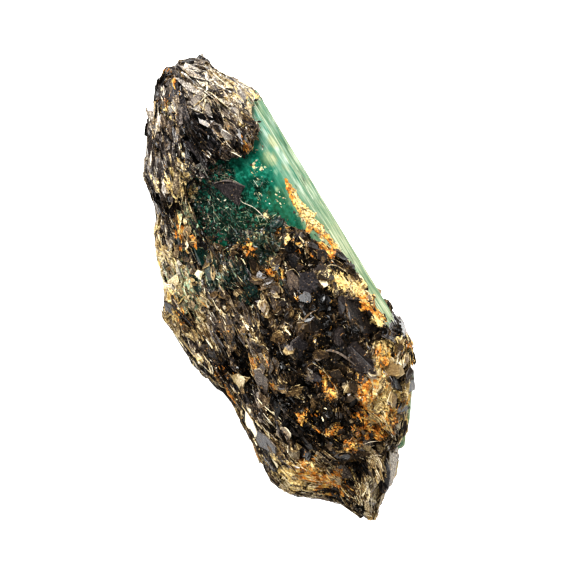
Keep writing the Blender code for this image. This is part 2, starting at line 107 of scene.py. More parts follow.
PALE = [
    (4.6, -18.4, 1.6, 0.9), (9.8, -16.2, 0.8, 0.8), (-1.6, 16.2, 1.3, 0.9), (8.6, -13.0, 1.6, 0.8),
    (5.0, -16.0, 2.0, 0.8), (-0.6, -11.0, 0.8, 0.7), (1.6, -9.0, 0.6, 0.7), (-1.8, -13.0, 0.6, 0.7),
    (2.8, -14.6, 0.8, 0.6), (6.6, -17.4, 1.4, 0.8), (8.6, 24.6, 2.4, 1.0), (5.8, 29.6, 2.4, 0.25),
    (6.4, 26.6, 1.8, 0.4), (-8.0, 6.4, 3.6, 0.9), (-9.6, 11.6, 2.0, 1.0), (-10.6, 1.6, 2.0, 0.7),
    (-3.0, 6.0, 2.4, 0.5), (7.0, -14.0, 2.2, 0.7), (9.8, -5.0, 2.0, 0.8), (-6.8, -16.0, 1.6, 0.3),
    (-9.6, -10.5, 1.6, 0.6), (1.6, -28.0, 1.6, 0.8), (-2.5, -29.6, 1.4, 0.9), (-3.6, 22.0, 1.4, 0.5),
    (9.6, -17.8, 1.6, 0.9), (-0.5, -4.6, 1.2, 0.5), (-6.0, 2.0, 2.2, 0.5), (2.4, -13.0, 1.8, 0.3),
    # The patches near x -12, from the end of this line to the start of the line after next, are painted
    # light: a pale rim along the lit left outline.
    (-9.0, -17.5, 1.4, 0.4), (6.2, 18.9, 1.3, 0.6), (-12.2, 3.4, 0.9, 0.9), (-12.2, 0.5, 0.8, 0.9),
    (-12.0, -2.2, 0.8, 0.9), (-11.8, -5.8, 0.8, 0.8), (-11.8, -9.6, 0.8, 0.9), (-11.9, -12.7, 0.8, 0.9),
    (-12.0, -16.0, 0.8, 1.0), (-12.1, -18.8, 0.9, 1.0), (4.0, -24.8, 1.2, 0.8), (10.4, 25.4, 1.4, 1.0),
    (-7.2, 15.4, 1.0, 0.8), (-9.4, 9.4, 1.4, 0.9), (11.6, -6.6, 1.0, 0.9), (11.4, -14.6, 1.2, 0.8),
    (-8.6, -20.4, 1.4, 0.9), (-2.0, -27.6, 1.0, 0.7), (6.0, -21.6, 1.2, 0.6), (8.8, 27.4, 1.8, 0.2),
    (10.3, 25.0, 1.5, 1.0), (10.2, 21.4, 1.2, 0.9), (6.4, 27.6, 2.0, 0.3), (11.2, 23.6, 1.6, 1.0),
    (9.7, 22.8, 1.6, 1.0), (9.1, 24.2, 1.4, 1.0), (7.6, 23.0, 1.3, 0.9), (8.0, 21.2, 1.0, 0.8),
    (-7.5, -21.5, 2.0, 1.0), (-5.4, -23.4, 1.6, 0.9), (5.0, -19.0, 2.4, 0.8), (8.0, -20.5, 1.8, 1.0),
    (9.0, -15.0, 1.6, 0.9), (-1.4, -27.4, 1.8, 1.0), (0.6, -27.4, 1.4, 0.9), (5.4, -24.0, 1.6, 0.8),
    (-11.4, 2.6, 1.2, 0.9), (-9.8, 8.0, 1.6, 0.9), (-1.0, -7.0, 0.8, 0.7), (-4.6, -4.0, 0.7, 0.6),
    (-3.4, -12.0, 0.6, 0.8), (-8.0, -12.6, 0.7, 0.8), (0.0, -16.0, 0.5, 0.6),
]
SILVERY = [
    (8.6, 24.4, 2.2, 1.0), (9.8, 22.8, 1.4, 1.0), (10.4, 26.0, 1.2, 0.8), (-9.0, 11.0, 1.6, 1.0),
    (-8.6, 13.0, 1.2, 0.8), (-10.4, 8.0, 1.0, 0.8), (7.0, -14.0, 1.8, 0.8), (9.0, -15.6, 1.2, 0.9),
    (-2.2, -28.0, 1.6, 0.8), (6.4, -16.4, 2.0, 1.0), (8.0, -18.6, 1.8, 0.9), (5.4, -20.2, 1.6, 0.8),
    (-4.6, -23.4, 1.4, 0.6), (-6.4, -22.0, 1.8, 0.6), (12.0, -13.6, 0.9, 0.8), (11.6, -7.4, 1.0, 0.6),
    (7.4, -3.2, 1.2, 0.6), (-2.6, -9.5, 0.7, 0.6), (1.2, -11.5, 0.6, 0.6), (-8.4, -20.6, 1.2, 0.7),
]
DARK = [
    (1.6, 19.6, 2.2, 0.9), (3.4, 21.6, 1.8, 1.0), (-1.0, 23.0, 1.2, 0.6), (5.4, -3.7, 1.6, 0.8),
    (4.2, -0.8, 1.4, 0.7), (0.0, -10.0, 3.0, 0.5), (5.0, -9.4, 2.2, 0.8), (9.7, -10.0, 1.2, 0.8),
    (11.2, -13.5, 1.2, 1.0), (7.6, -18.3, 1.2, 0.9), (9.1, -17.1, 0.9, 1.0), (-7.0, -4.0, 2.2, 0.8),
    (-3.0, -17.0, 2.8, 0.9), (-1.5, -24.5, 2.2, 0.55), (-7.6, -9.0, 1.6, 0.9), (7.0, 1.2, 1.4, 0.8),
    (-11.4, 5.6, 0.8, 0.9), (3.0, 30.0, 0.9, 1.0), (1.5, 10.0, 2.0, 0.6), (5.6, 4.2, 1.2, 0.6),
    (-9.2, -13.6, 1.2, 0.9), (10.8, -15.6, 0.9, 1.0), (-4.2, 9.6, 1.2, 0.7), (-2.8, -7.6, 1.6, 0.9),
    (-5.2, -11.6, 1.4, 0.9), (4.0, -7.0, 1.0, 1.0), (-10.7, 3.6, 0.9, 1.0), (5.0, 24.0, 0.8, 0.7),
    (-2.0, 20.6, 1.0, 0.6), (1.9, 29.3, 0.7, 1.0), (0.6, 28.0, 0.7, 1.0), (-0.9, 26.6, 0.8, 1.0),
    (-2.2, 25.2, 0.8, 1.0), (-3.4, 23.7, 0.8, 1.0), (2.8, 23.2, 1.2, 1.0), (1.0, 21.8, 1.8, 1.0),
    (3.9, 19.6, 1.4, 0.8), (7.3, 24.6, 0.6, 0.7), (-10.9, -7.6, 0.9, 1.0), (-10.2, -11.6, 0.9, 1.0),
    (-7.2, -12.0, 0.9, 1.0), (-2.2, -11.0, 1.0, 1.0), (-5.0, -14.2, 0.9, 0.9), (-8.2, -3.6, 1.2, 0.8),
]
GREENISH = [
    (-6.0, 9.0, 2.0, 0.8), (-8.4, 4.6, 1.6, 0.7), (-4.6, 5.4, 1.6, 0.8), (-9.8, 9.6, 1.0, 0.6),
    (-5.4, 12.4, 1.4, 0.7), (-7.4, 7.0, 1.6, 0.7), (-1.6, 15.8, 1.4, 0.6), (-3.0, 13.6, 1.2, 0.5),
    (0.5, 12.0, 4.2, 1.0), (3.5, 7.0, 3.2, 0.8), (-1.3, 4.7, 2.4, 0.7), (-3.6, 8.4, 2.2, 0.6),
    (-2.0, 0.0, 1.6, 0.4), (-2.6, 15.4, 1.8, 0.6), (9.8, -18.6, 0.9, 0.7), (8.4, -20.6, 1.0, 0.6),
    (6.4, -23.0, 1.0, 0.6), (10.2, 21.2, 1.2, 0.6), (1.6, 1.0, 1.2, 0.6), (2.6, 5.0, 1.6, 1.0),
    (-1.4, 1.6, 1.4, 0.6),
]

# Where thin schist still hides the crystal below the window.
COVERED = [
    (-1.6, 16.4, 1.1, 1.0), (-2.6, 14.4, 0.9, 0.8), (2.0, 5.0, 1.5, 1.0), (0.8, 7.2, 1.2, 0.7),
    (3.2, 6.2, 1.2, 0.9), (1.2, 3.4, 1.6, 1.0), (2.8, 3.2, 1.6, 1.0), (4.4, 5.6, 1.2, 0.9),
    (5.6, 6.6, 0.9, 0.6),
]

# Where the schist falls away from its solid, as (x, y, radius, depth).
HOLLOWS = [
    (5.8, 31.6, 1.5, 0.6), (7.2, 31.2, 0.9, 0.4), (10.8, 26.8, 1.6, 0.6), (9.9, 28.4, 1.2, 0.4),
    (12.6, 24.0, 1.2, 0.5),
]

# On the crystal, each patch as (x, y, radius, strength): where it is darkest, where it is milky, where its
# chipped arris is stained, where it is olive and where it has pale specks.
DEEPEST = [
    (0.5, 12.5, 3.0, 1.0), (-1.5, 14.6, 2.0, 1.0), (2.0, 9.5, 2.4, 1.0), (4.2, 7.6, 1.6, 1.0),
    (3.2, 15.6, 1.5, 0.8), (6.0, 11.8, 1.6, 0.5), (7.4, 17.6, 1.0, 0.5), (7.2, 12.4, 1.0, 0.4),
]
MILKY = [
    (9.6, 16.4, 1.0, 0.8), (9.3, 19.6, 0.9, 0.8), (8.9, 12.6, 0.7, 0.6), (6.4, 15.4, 0.7, 0.4),
    (10.6, 22.2, 1.4, 1.0), (7.9, 10.6, 0.6, 0.4), (9.2, 14.4, 0.7, 0.6), (8.6, 21.0, 0.9, 0.8),
    (7.1, -22.2, 1.8, 1.0), (8.6, -20.6, 1.8, 1.5), (10.0, -18.4, 1.6, 1.5), (5.8, -23.2, 1.8, 1.5),
    (6.6, -23.4, 1.6, 1.5), (7.6, -22.4, 1.6, 1.5),
]
ARRIS_STAIN = [
    (9.3, 10.4, 0.5, 0.5), (9.2, 8.0, 0.7, 0.5), (9.4, 5.6, 1.0, 0.6), (9.8, 3.2, 0.9, 0.6),
    (10.3, 0.8, 0.8, 0.6), (11.0, -2.0, 0.6, 0.5), (8.1, 6.6, 1.0, 0.35), (8.6, 20.8, 1.0, 0.7),
    (10.4, 22.3, 0.8, 0.9), (12.2, 21.4, 0.9, 0.8), (7.5, 13.8, 0.4, 0.5), (5.4, 8.6, 0.8, 0.5),
    (6.9, 14.6, 0.35, 0.6), (8.3, 12.8, 0.4, 0.4),
]
OLIVE = [
    (7.3, 9.3, 1.5, 1.0), (5.8, -23.2, 1.6, 1.0), (9.0, 14.4, 0.9, 1.0), (10.7, 16.0, 0.9, 0.8),
    (9.8, 12.4, 0.7, 0.8), (7.1, -22.2, 1.6, 1.0), (8.4, -20.6, 1.6, 1.0), (9.8, -18.6, 1.4, 1.0),
    (7.2, 7.7, 1.3, 1.0), (5.6, 8.6, 1.0, 0.8), (8.4, 9.4, 0.8, 0.6), (10.4, 22.4, 1.6, 1.0),
    (11.8, 9.6, 0.6, 0.8), (11.6, 6.4, 0.6, 0.8), (12.0, 3.0, 0.8, 1.0),
]
SPECKS = [
    (6.3, 17.2, 0.5, 1.0), (6.9, 15.0, 0.5, 1.0), (7.1, 14.1, 0.6, 1.0), (7.8, 13.4, 0.5, 1.0),
    (7.2, 12.6, 0.6, 1.0), (8.0, 12.0, 0.5, 0.8), (6.2, 12.6, 0.4, 0.7), (8.6, 15.4, 0.9, 0.3),
    (6.0, 10.4, 1.2, 0.6), (7.6, 9.4, 0.9, 0.7), (7.4, 18.8, 0.5, 0.6),
]

# Clay smeared along the chipped arris and iron veins in the schist: (x, y, width, rustiness) from end to end.
CLAY_SMEARS = [
    [
        (9.45, 11.3, 0.4, 0.8), (9.3, 10.4, 0.7, 0.7), (9.2, 9.2, 0.9, 0.5), (9.15, 8.0, 1.2, 0.3),
        (9.2, 6.8, 1.4, 0.2), (9.4, 5.6, 1.4, 0.2), (9.6, 4.6, 1.3, 0.3), (9.85, 3.2, 0.9, 0.6),
        (10.1, 2.0, 0.7, 0.8), (10.4, 0.6, 0.5, 0.5), (10.7, -0.7, 0.3, 0.3),
    ],
    [(9.4, 5.1, 0.8, 0.4), (8.7, 4.5, 0.6, 0.8), (8.0, 4.2, 0.5, 0.9), (7.2, 4.0, 0.3, 0.9)],
    [(8.3, 21.6, 0.3, 0.5), (9.4, 21.8, 0.6, 0.2), (10.6, 22.0, 0.6, 0.3), (11.6, 21.8, 0.4, 0.5)],
]
IRON_VEINS = [
    [
        (9.0, -12.2, 0.3, 0.4), (8.2, -13.2, 0.7, 0.4), (7.2, -14.0, 0.9, 0.2), (6.0, -14.8, 1.0, 0.5),
        (4.8, -15.8, 1.1, 0.6), (3.9, -16.8, 1.0, 0.6), (3.4, -17.6, 0.9, 0.5), (3.5, -18.4, 0.6, 0.4),
        (3.9, -18.9, 0.3, 0.3),
    ],
    [
        (2.0, -17.8, 0.4, 0.9), (1.9, -18.8, 0.8, 0.9), (2.2, -19.9, 1.0, 0.9), (1.8, -20.9, 1.0, 0.9),
        (0.6, -21.4, 0.5, 1.0),
    ],
    [
        (7.4, -15.4, 0.3, 0.2), (6.4, -16.6, 0.6, 0.1), (5.8, -18.0, 0.7, 0.2), (5.4, -19.4, 0.5, 0.4),
        (4.6, -20.6, 0.3, 0.6),
    ],
    [
        (-7.2, -19.4, 0.4, 0.6), (-6.4, -20.6, 0.9, 0.4), (-5.9, -22.0, 1.1, 0.6), (-5.3, -23.6, 0.9, 0.9),
        (-4.6, -25.0, 0.4, 0.9),
    ],
    [(9.2, -6.0, 0.3, 0.4), (9.9, -6.8, 0.8, 0.6), (10.8, -8.0, 0.9, 0.8), (11.6, -9.0, 0.5, 0.8)],
]

# Plates big enough to know by name: corners, tone, coolness, slope along x and y, lift, layers.
CHOSEN_PLATES = {
    "cap_grey": (
        [(3.9, 25.3), (4.3, 24.3), (5.7, 22.6), (6.4, 23.3), (6.4, 25.8), (5.2, 25.5)],
        0.62, 0.9, -0.1, 0.3, 0.35, 3,
    ),
    "cap_diamond": (
        [(7.9, 24.9), (8.8, 24.5), (9.1, 23.6), (8.0, 23.4), (7.7, 24.3)],
        0.40, 0.9, 0.2, 0.1, 0.15, 2,
    ),
    "cap_black": (
        [(3.5, 31.2), (4.0, 31.1), (3.1, 29.7), (2.1, 28.6), (1.8, 29.0), (2.7, 30.5)],
        0.05, 0.4, 0.5, 0.2, 0.10, 3,
    ),
    "cap_bright": (
        [(5.9, 20.2), (6.6, 18.9), (6.7, 17.4), (6.2, 17.3), (5.6, 18.8), (5.6, 19.9)],
        0.66, 1.0, 0.1, 0.3, 0.20, 3,
    ),
    "cap_pale": (
        [(5.5, 21.5), (6.2, 20.7), (6.1, 19.6), (5.6, 19.9), (5.3, 21.0)],
        0.55, 0.9, 0.2, 0.4, 0.20, 2,
    ),
    "round": (
        [
            (10.3, -10.0), (11.3, -9.7), (12.2, -10.1), (12.8, -11.2), (12.5, -12.5), (11.6, -13.1),
            (10.4, -12.9), (9.9, -11.6),
        ],
        0.08, 0.8, -0.45, 0.05, 0.25, 4,
    ),
    "big_grey": (
        [
            (4.9, -7.8), (5.8, -7.6), (6.5, -10.3), (6.8, -13.2), (6.3, -14.2), (4.8, -13.7), (3.8, -11.5),
            (3.7, -9.5),
        ],
        0.30, 0.7, 0.15, -0.1, 0.25, 4,
    ),
    "book_1": (
        [(3.6, 1.3), (4.2, 1.1), (4.4, -0.2), (3.7, -1.2), (2.7, -1.1), (3.0, 0.1)],
        0.36, 0.6, -0.1, 0.2, 0.25, 3,
    ),
    "book_2": (
        [(4.9, 0.3), (6.2, -0.2), (6.6, -1.5), (5.9, -2.4), (4.6, -2.3), (4.0, -1.3)],
        0.22, 1.0, -0.2, 0.1, 0.20, 4,
    ),
    "book_3": (
        [(8.1, -5.3), (9.4, -6.1), (10.3, -8.2), (10.5, -9.6), (9.5, -10.7), (7.7, -10.1), (7.2, -7.8)],
        0.30, 0.5, -0.2, 0.15, 0.20, 4,
    ),
    "book_4": (
        [(4.2, 3.1), (5.3, 2.9), (5.6, 2.0), (4.9, 1.3), (4.0, 1.7)],
        0.14, 0.9, 0.2, 0.2, 0.20, 3,
    ),
    "narrow": (
        [(7.3, -4.6), (7.9, -4.6), (8.0, -5.3), (7.2, -6.3), (6.3, -7.1), (6.2, -6.6)],
        0.10, 0.8, 0.4, 0.3, 0.35, 3,
    ),
    "glint": (
        [(-0.4, -6.3), (0.7, -6.1), (1.3, -7.3), (0.7, -8.6), (-0.7, -8.3), (-1.0, -7.2)],
        0.16, 1.0, 0.1, 0.5, 0.25, 3,
    ),
    "tooth": (
        [(6.4, -1.6), (7.2, -1.8), (7.1, -2.6), (6.4, -2.6)],
        1.0, 0.3, 0.1, 0.3, 0.25, 2,
    ),
    "slope_pale_1": (
        [(-9.2, -6.1), (-8.0, -6.3), (-7.7, -7.3), (-8.8, -8.4), (-9.7, -8.0), (-9.8, -6.9)],
        0.64, 0.1, 0.2, 0.1, 0.5, 3,
    ),
    "slope_pale_2": (
        [(-6.0, -6.9), (-5.4, -7.1), (-5.2, -8.8), (-6.2, -10.1), (-6.8, -9.6), (-6.5, -8.0)],
        0.46, 0.7, 0.1, 0.2, 0.5, 3,
    ),
    "slope_dark": (
        [(-11.3, 6.2), (-10.7, 5.3), (-10.1, 3.3), (-9.9, 1.9), (-10.5, 2.1), (-11.1, 3.6), (-11.7, 5.1)],
        0.08, 0.4, 0.2, 0.1, 0.20, 3,
    ),
    "white_flake": (
        [
            (-9.4, -10.4), (-9.1, -10.9), (-9.6, -12.4), (-9.9, -13.8), (-10.6, -14.6), (-11.1, -14.1),
            (-10.4, -11.9),
        ],
        1.0, 0.5, 0.3, 0.1, 0.25, 2,
    ),
    "violet_1": (
        [(-9.0, -8.6), (-8.3, -9.2), (-8.6, -10.0), (-9.3, -9.7), (-9.5, -9.2)],
        0.38, 1.0, 0.2, 0.1, 0.20, 2,
    ),
    "violet_2": (
        [(-9.7, -13.5), (-9.1, -14.7), (-8.8, -16.4), (-9.2, -17.1), (-10.5, -15.4), (-10.3, -14.3)],
        0.18, 0.8, 0.2, 0.1, 0.5, 3,
    ),
    "rounded_1": (
        [(-7.4, -14.4), (-6.5, -14.8), (-6.3, -15.8), (-6.9, -16.5), (-7.6, -16.1), (-7.8, -15.2)],
        0.64, 0.5, 0.2, 0.2, 0.6, 3,
    ),
    "rounded_2": (
        [(-7.4, -17.0), (-6.6, -17.4), (-6.6, -18.4), (-7.2, -19.1), (-7.7, -18.5), (-7.8, -17.7)],
        0.62, 0.5, 0.2, 0.2, 0.6, 3,
    ),
    "violet_3": (
        [(-6.3, -17.9), (-5.6, -18.4), (-5.6, -19.3), (-6.5, -19.6), (-6.7, -18.7)],
        0.30, 1.0, 0.1, 0.1, 0.20, 2,
    ),
    "black_1": (
        [(8.0, -16.4), (9.5, -16.8), (10.1, -18.0), (9.5, -19.2), (8.3, -18.8), (7.6, -17.6)],
        0.04, 0.8, -0.2, 0.2, 0.20, 4,
    ),
    "black_2": (
        [(6.4, -19.5), (7.5, -19.8), (7.7, -20.8), (6.8, -21.3), (6.2, -20.6)],
        0.05, 0.8, -0.1, 0.2, 0.20, 3,
    ),
    "pillar_1": (
        [(3.0, -24.4), (4.3, -24.0), (3.6, -25.4), (2.3, -27.0), (1.0, -28.2), (0.8, -27.8)],
        0.60, 0.8, -0.3, 0.2, 0.15, 3,
    ),
    "pillar_2": (
        [(0.7, -25.7), (2.4, -25.5), (0.5, -28.8), (-0.5, -28.5), (-0.3, -27.1)],
        0.20, 0.9, -0.1, 0.1, 0.15, 3,
    ),
    "edge_pale": (
        [(-9.9, -16.6), (-9.2, -17.6), (-10.3, -19.3), (-10.6, -19.1), (-10.5, -17.7)],
        0.88, 0.2, 0.3, 0.1, 0.20, 3,
    ),
    "lavender": (
        [(-9.1, -18.1), (-7.7, -20.0), (-8.3, -19.9), (-9.5, -18.7)],
        0.55, 1.0, 0.2, 0.2, 0.20, 2,
    ),
    "tail_white": (
        [(-2.1, -28.4), (-1.8, -29.2), (-3.0, -30.3), (-3.5, -30.2), (-3.4, -29.4)],
        0.85, 0.4, 0.1, 0.2, 0.20, 3,
    ),
}
WINDOW_PLATE = [
    (1.5, 15.3), (3.0, 14.8), (4.6, 13.0), (3.75, 12.5), (2.75, 11.2), (2.3, 12.2), (2.1, 13.5),
    (1.8, 14.4),
]

# Thin edges of mica seen as lines, on the schist and on the crystal; the strips along the left outline also
# carry a pale rim painted as light: path, width, tone, coolness, lift.
EDGES = [
    ([(2.0, -9.2), (3.0, -9.4), (3.8, -10.2), (4.4, -11.4), (4.8, -12.6)], 0.34, 0.50, 0.7, 0.4),
    ([(1.0, -5.6), (2.1, -4.8), (3.3, -4.4), (4.3, -4.5)], 0.30, 0.50, 0.2, 0.5),
    ([(3.2, 1.4), (4.5, 1.2), (4.6, -0.4), (3.9, -1.7)], 0.08, 0.80, 0.3, 0.45),
    ([(0.6, -9.8), (1.2, -11.2), (1.4, -13.4), (1.2, -14.6)], 0.12, 0.85, 0.2, 0.4),
    ([(4.0, 4.6), (5.2, 3.7), (6.4, 3.4), (7.2, 2.2)], 0.10, 0.80, 0.3, 0.3),
    ([(3.9, 25.2), (4.2, 24.2), (5.6, 22.5)], 0.08, 0.80, 0.5, 0.4),
    ([(7.3, -1.0), (8.4, -0.6), (9.3, -1.3), (9.9, -2.6)], 0.12, 0.78, 0.2, 0.3),
    ([(7.9, 0.2), (9.2, -0.1), (10.0, -1.4)], 0.10, 0.70, 0.2, 0.3),
    ([(0.6, -21.7), (1.5, -21.9), (2.5, -22.4)], 0.10, 0.95, 0.5, 0.5),
    ([(0.5, -22.3), (1.4, -22.5), (2.3, -23.0)], 0.10, 0.85, 0.5, 0.5),
    ([(0.4, -22.9), (1.3, -23.1), (2.1, -23.6)], 0.10, 0.75, 0.5, 0.5),
    ([(0.3, -23.5), (1.2, -23.7), (1.8, -24.2)], 0.10, 0.85, 0.5, 0.5),
    ([(-1.2, -26.2), (-2.0, -28.2), (-2.9, -30.0)], 0.12, 0.85, 0.6, 0.3),
    ([(-0.4, -26.6), (-1.2, -28.6), (-2.3, -30.2)], 0.10, 0.70, 0.6, 0.3),
    ([(4.7, 31.0), (6.2, 29.2), (7.9, 27.4), (9.0, 26.6)], 0.14, 0.90, 0.2, 0.3),
    # These four strips follow the left outline: mica edges, and a pale rim of painted light along the lit
    # outline.
    ([(-11.9, 3.2), (-12.0, 1.0), (-11.8, -2.2)], 0.24, 0.78, 0.1, 0.1),
    ([(-11.6, -3.6), (-11.4, -6.0), (-11.3, -9.0)], 0.24, 0.80, 0.1, 0.1),
    ([(-10.9, -10.6), (-11.1, -13.4), (-11.2, -16.4), (-11.1, -18.6)], 0.24, 0.80, 0.1, 0.0),
    ([(-9.4, 10.4), (-10.6, 7.6), (-11.3, 5.6)], 0.26, 0.85, 0.1, 0.1),
    ([(5.2, 29.0), (6.6, 27.8), (7.8, 26.2)], 0.14, 0.30, 0.6, 0.3),
]
CRYSTAL_EDGES = [
    ([(1.7, 15.2), (3.0, 14.8), (3.9, 14.0), (4.6, 13.0)], 0.26, 0.50, 0.9, 0.40),
    ([(3.5, 12.3), (3.4, 11.5), (4.2, 10.3), (4.6, 9.1), (4.8, 7.7)], 0.09, 0.90, 0.7, 0.10),
    ([(2.4, 16.1), (3.3, 15.4), (4.1, 14.5)], 0.05, 0.62, 0.7, 0.06),
    ([(2.5, 15.7), (3.6, 14.7), (4.5, 13.3)], 0.06, 0.70, 0.7, 0.06),
    ([(5.0, 9.7), (5.4, 8.4), (5.2, 6.1)], 0.05, 0.60, 0.5, 0.06),
    ([(-0.6, 14.6), (0.6, 12.8), (1.4, 10.6)], 0.05, 0.55, 0.5, 0.06),
    ([(-1.4, 13.0), (-0.2, 11.2), (0.6, 9.0)], 0.05, 0.50, 0.5, 0.06),
]

# How wide the small squares are that the rock's and the crystal's surfaces are made of.
ROCK_VOXEL, CRYSTAL_VOXEL = 0.29, 0.28


# ---------------------------------------------------------------- numbers that vary from place to place


def unit(vectors):
    """The vectors at unit length."""
    return vectors / np.maximum(np.linalg.norm(vectors, axis=-1, keepdims=True), 1e-9)


def hashed(cells, seed):
    """A number from 0 to 1 for each whole-numbered cell."""
    c = cells.astype(np.int64)
    h = c[..., 0] * 374761393 + c[..., 1] * 668265263 + c[..., 2] * 1440662683 + seed * 974711
    h = (h ^ (h >> 13)) * 1274126177
    h = h ^ (h >> 16)
    return (h & 0xFFFFFF) / float(0x1000000)


def noise(points, seed=0):
    """Smooth noise from -1 to 1 with lumps about one unit across."""
    cell = np.floor(points)
    t = points - cell
    t = t * t * (3 - 2 * t)
    total = np.zeros(len(points))
    for corner in itertools.product((0, 1), repeat=3):
        weight = np.prod(np.where(corner, t, 1 - t), axis=1)
        total += weight * hashed(cell + corner, seed)
    return 2 * total - 1


def broken(points, seed=0, layers=3):
    """Noise with finer noise laid over it."""
    total, strength = np.zeros(len(points)), 0.0
    for k in range(layers):
        total += noise(points * 2.1**k, seed + 7 * k) * 0.55**k
        strength += 0.55**k
    return total / strength * 1.5


def slabs(points, seed):
    """Cuts space into cells round scattered centres.

    It gives each point's cell, its offset from the cell's centre and how far it is from the cell's edge.
    """
    cell = np.floor(points)
    best = np.full(len(points), 9.0)
    second = best.copy()
    nearest, offset = np.zeros_like(points), np.zeros_like(points)
    for corner in itertools.product((-1, 0, 1), repeat=3):
        near = cell + corner
        centre = near + np.stack([hashed(near, seed + k) for k in range(3)], axis=1)
        gap = points - centre
        far = np.linalg.norm(gap, axis=1)
        closer = far < best
        second = np.where(closer, best, np.minimum(second, far))
        best = np.where(closer, far, best)
        nearest[closer], offset[closer] = near[closer], gap[closer]
    return nearest, offset, second - best


def eased(low, high, values):
    """Eased from 0 at low to 1 at high."""
    t = np.clip((values - low) / (high - low), 0.0, 1.0)
    return t * t * (3 - 2 * t)


def lay_angle(points):
    """The lay of the mica at each point, in radians."""
    total, weights = np.zeros(len(points)), np.full(len(points), 0.02)
    for x, y, degrees, reach in LAY:
        weight = np.exp(-((points[:, 0] - x) ** 2 + (points[:, 1] - y) ** 2) / reach**2)
        total += weight * math.radians(degrees)
        weights += weight
    return total / weights + 0.14 * noise(points / 5.0, 91)


def lay_direction(points, normals):
    """The lay as a direction within the surface."""
    angle = lay_angle(points)
    along = np.stack([np.sin(angle), -np.cos(angle), np.zeros(len(points))], axis=1)
    along -= normals * np.sum(along * normals, axis=1, keepdims=True)
    return unit(along)


FITTING_ROUNDS = 400


def slopes(heights):
    """The slopes of a map between its grid points, along x and along y."""
    return np.diff(heights, axis=0) / GRID, np.diff(heights, axis=1) / GRID


def pull(east, north):
    """How much the slopes on either side of each grid point would lift it."""
    total = np.zeros((len(GRID_X), len(GRID_Y)))
    total[1:] += east
    total[:-1] -= east
    total[:, 1:] += north
    total[:, :-1] -= north
    return total / GRID


def map_with_slopes(east, north):
    """The map whose slopes come nearest to the ones given, by conjugate gradients."""
    heights = np.zeros((len(GRID_X), len(GRID_Y)))
    left = pull((east[1:] + east[:-1]) / 2, (north[:, 1:] + north[:, :-1]) / 2)
    step, size = left.copy(), np.sum(left**2)
    for _ in range(FITTING_ROUNDS):
        change = pull(*slopes(step))
        stride = size / np.sum(step * change)
        heights += stride * step
        left -= stride * change
        before, size = size, np.sum(left**2)
        step = left + step * size / before
    return heights


GRID = 0.5
GRID_X, GRID_Y = np.arange(-18.0, 18.1, GRID), np.arange(-38.0, 38.1, GRID)
GRID_PLACES = np.stack(np.meshgrid(GRID_X, GRID_Y, [0.0], indexing="ij"), axis=-1).reshape(-1, 3)
GRID_ANGLE = lay_angle(GRID_PLACES).reshape(len(GRID_X), len(GRID_Y))
ACROSS_LAY = map_with_slopes(np.cos(GRID_ANGLE), np.sin(GRID_ANGLE))
ALONG_LAY = map_with_slopes(np.sin(GRID_ANGLE), -np.cos(GRID_ANGLE))


def lay_places(points):
    """Each point measured across the lay, along it and up."""
    x = np.clip((points[:, 0] - GRID_X[0]) / GRID, 0, len(GRID_X) - 1.001)
    y = np.clip((points[:, 1] - GRID_Y[0]) / GRID, 0, len(GRID_Y) - 1.001)
    i, j = x.astype(int), y.astype(int)
    s, t = x - i, y - j
    found = []
    for heights in (ACROSS_LAY, ALONG_LAY):
        low = heights[i, j] * (1 - s) + heights[i + 1, j] * s
        high = heights[i, j + 1] * (1 - s) + heights[i + 1, j + 1] * s
        found.append(low * (1 - t) + high * t)
    return np.stack([*found, points[:, 2]], axis=1)


def combed(points, across, along):
    """Points squeezed along the lay, so that noise on them comes out long along it."""
    return lay_places(points) / (across, along, across)


def patches(points, table, seed, raggedness=0.6):
    """How much each point lies in a table's patches, from 0 to 1, with edges ragged along the lay."""
    total = np.zeros(len(points))
    for x, y, radius, strength in table:
        away = ((points[:, 0] - x) ** 2 + (points[:, 1] - y) ** 2) / radius**2
        total = np.maximum(total, strength * np.exp(-0.6 * away))
    coarse, fine = broken(combed(points, 0.7, 1.6), seed, 2), noise(combed(points, 0.2, 0.5), seed + 3)
    ragged = raggedness * (coarse + 0.7 * fine)
    return eased(0.25, 0.8, total * (1 + ragged) + 0.3 * ragged * total)


# ---------------------------------------------------------------- surfaces and pieces


class Surface:
    """The surface of a piece, which small things are laid on."""

    def __init__(self, points, faces, normals):
        a, b, c, d = (points[faces[:, k]] for k in range(4))
        span = np.cross(c - a, d - b)
        self.corners = (a, b, c, d)
        self.middle = (a + b + c + d) / 4
        self.area = np.linalg.norm(span, axis=1)
        self.facing = unit(span)
        self.smooth = unit(normals[faces].sum(axis=1))
        self.tree = BVHTree.FromPolygons(points.tolist(), faces.tolist())

    def gaps(self, places, reach):
        """How far each place is from this surface, up to a reach, and negative inside it."""
        found = np.full(len(places), reach)
        for k, place in enumerate(places):
            nearest, normal, _, far = self.tree.find_nearest(place, reach)
            if nearest is not None:
                found[k] = far if (Vector(place) - nearest).dot(normal) > 0 else -far
        return found

    def top(self, x, y):
        """The highest point of the surface at (x, y), or else of what is nearest."""
        hit, _, _, _ = self.tree.ray_cast(Vector((x, y, OVERHEAD_Z)), Vector((0, 0, -1)))
        return self.tree.find_nearest((x, y, MIDDLE_Z))[0].z if hit is None else hit.z

    def draped(self, places, loft, reach=4.0):
        """Places brought down to no more than a loft above the surface."""
        found = places.copy()
        for k, place in enumerate(places):
            place = Vector(place)
            nearest, normal, _, far = self.tree.find_nearest(place, reach)
            if nearest is not None and far > loft and (place - nearest).dot(normal) > 0:
                found[k] = nearest + (place - nearest) * (loft / far)
        return found

    def spots(self, count, weight, rng):
        """Random places on the surface, and the smooth normals there."""
        share = self.area * weight(self)
        pick = rng.choice(len(share), count, p=share / share.sum())
        s, t = rng.random((2, count, 1))
        a, b, c, d = (corner[pick] for corner in self.corners)
        place = (a * (1 - s) + b * s) * (1 - t) + (d * (1 - s) + c * s) * t
        return place, self.smooth[pick]


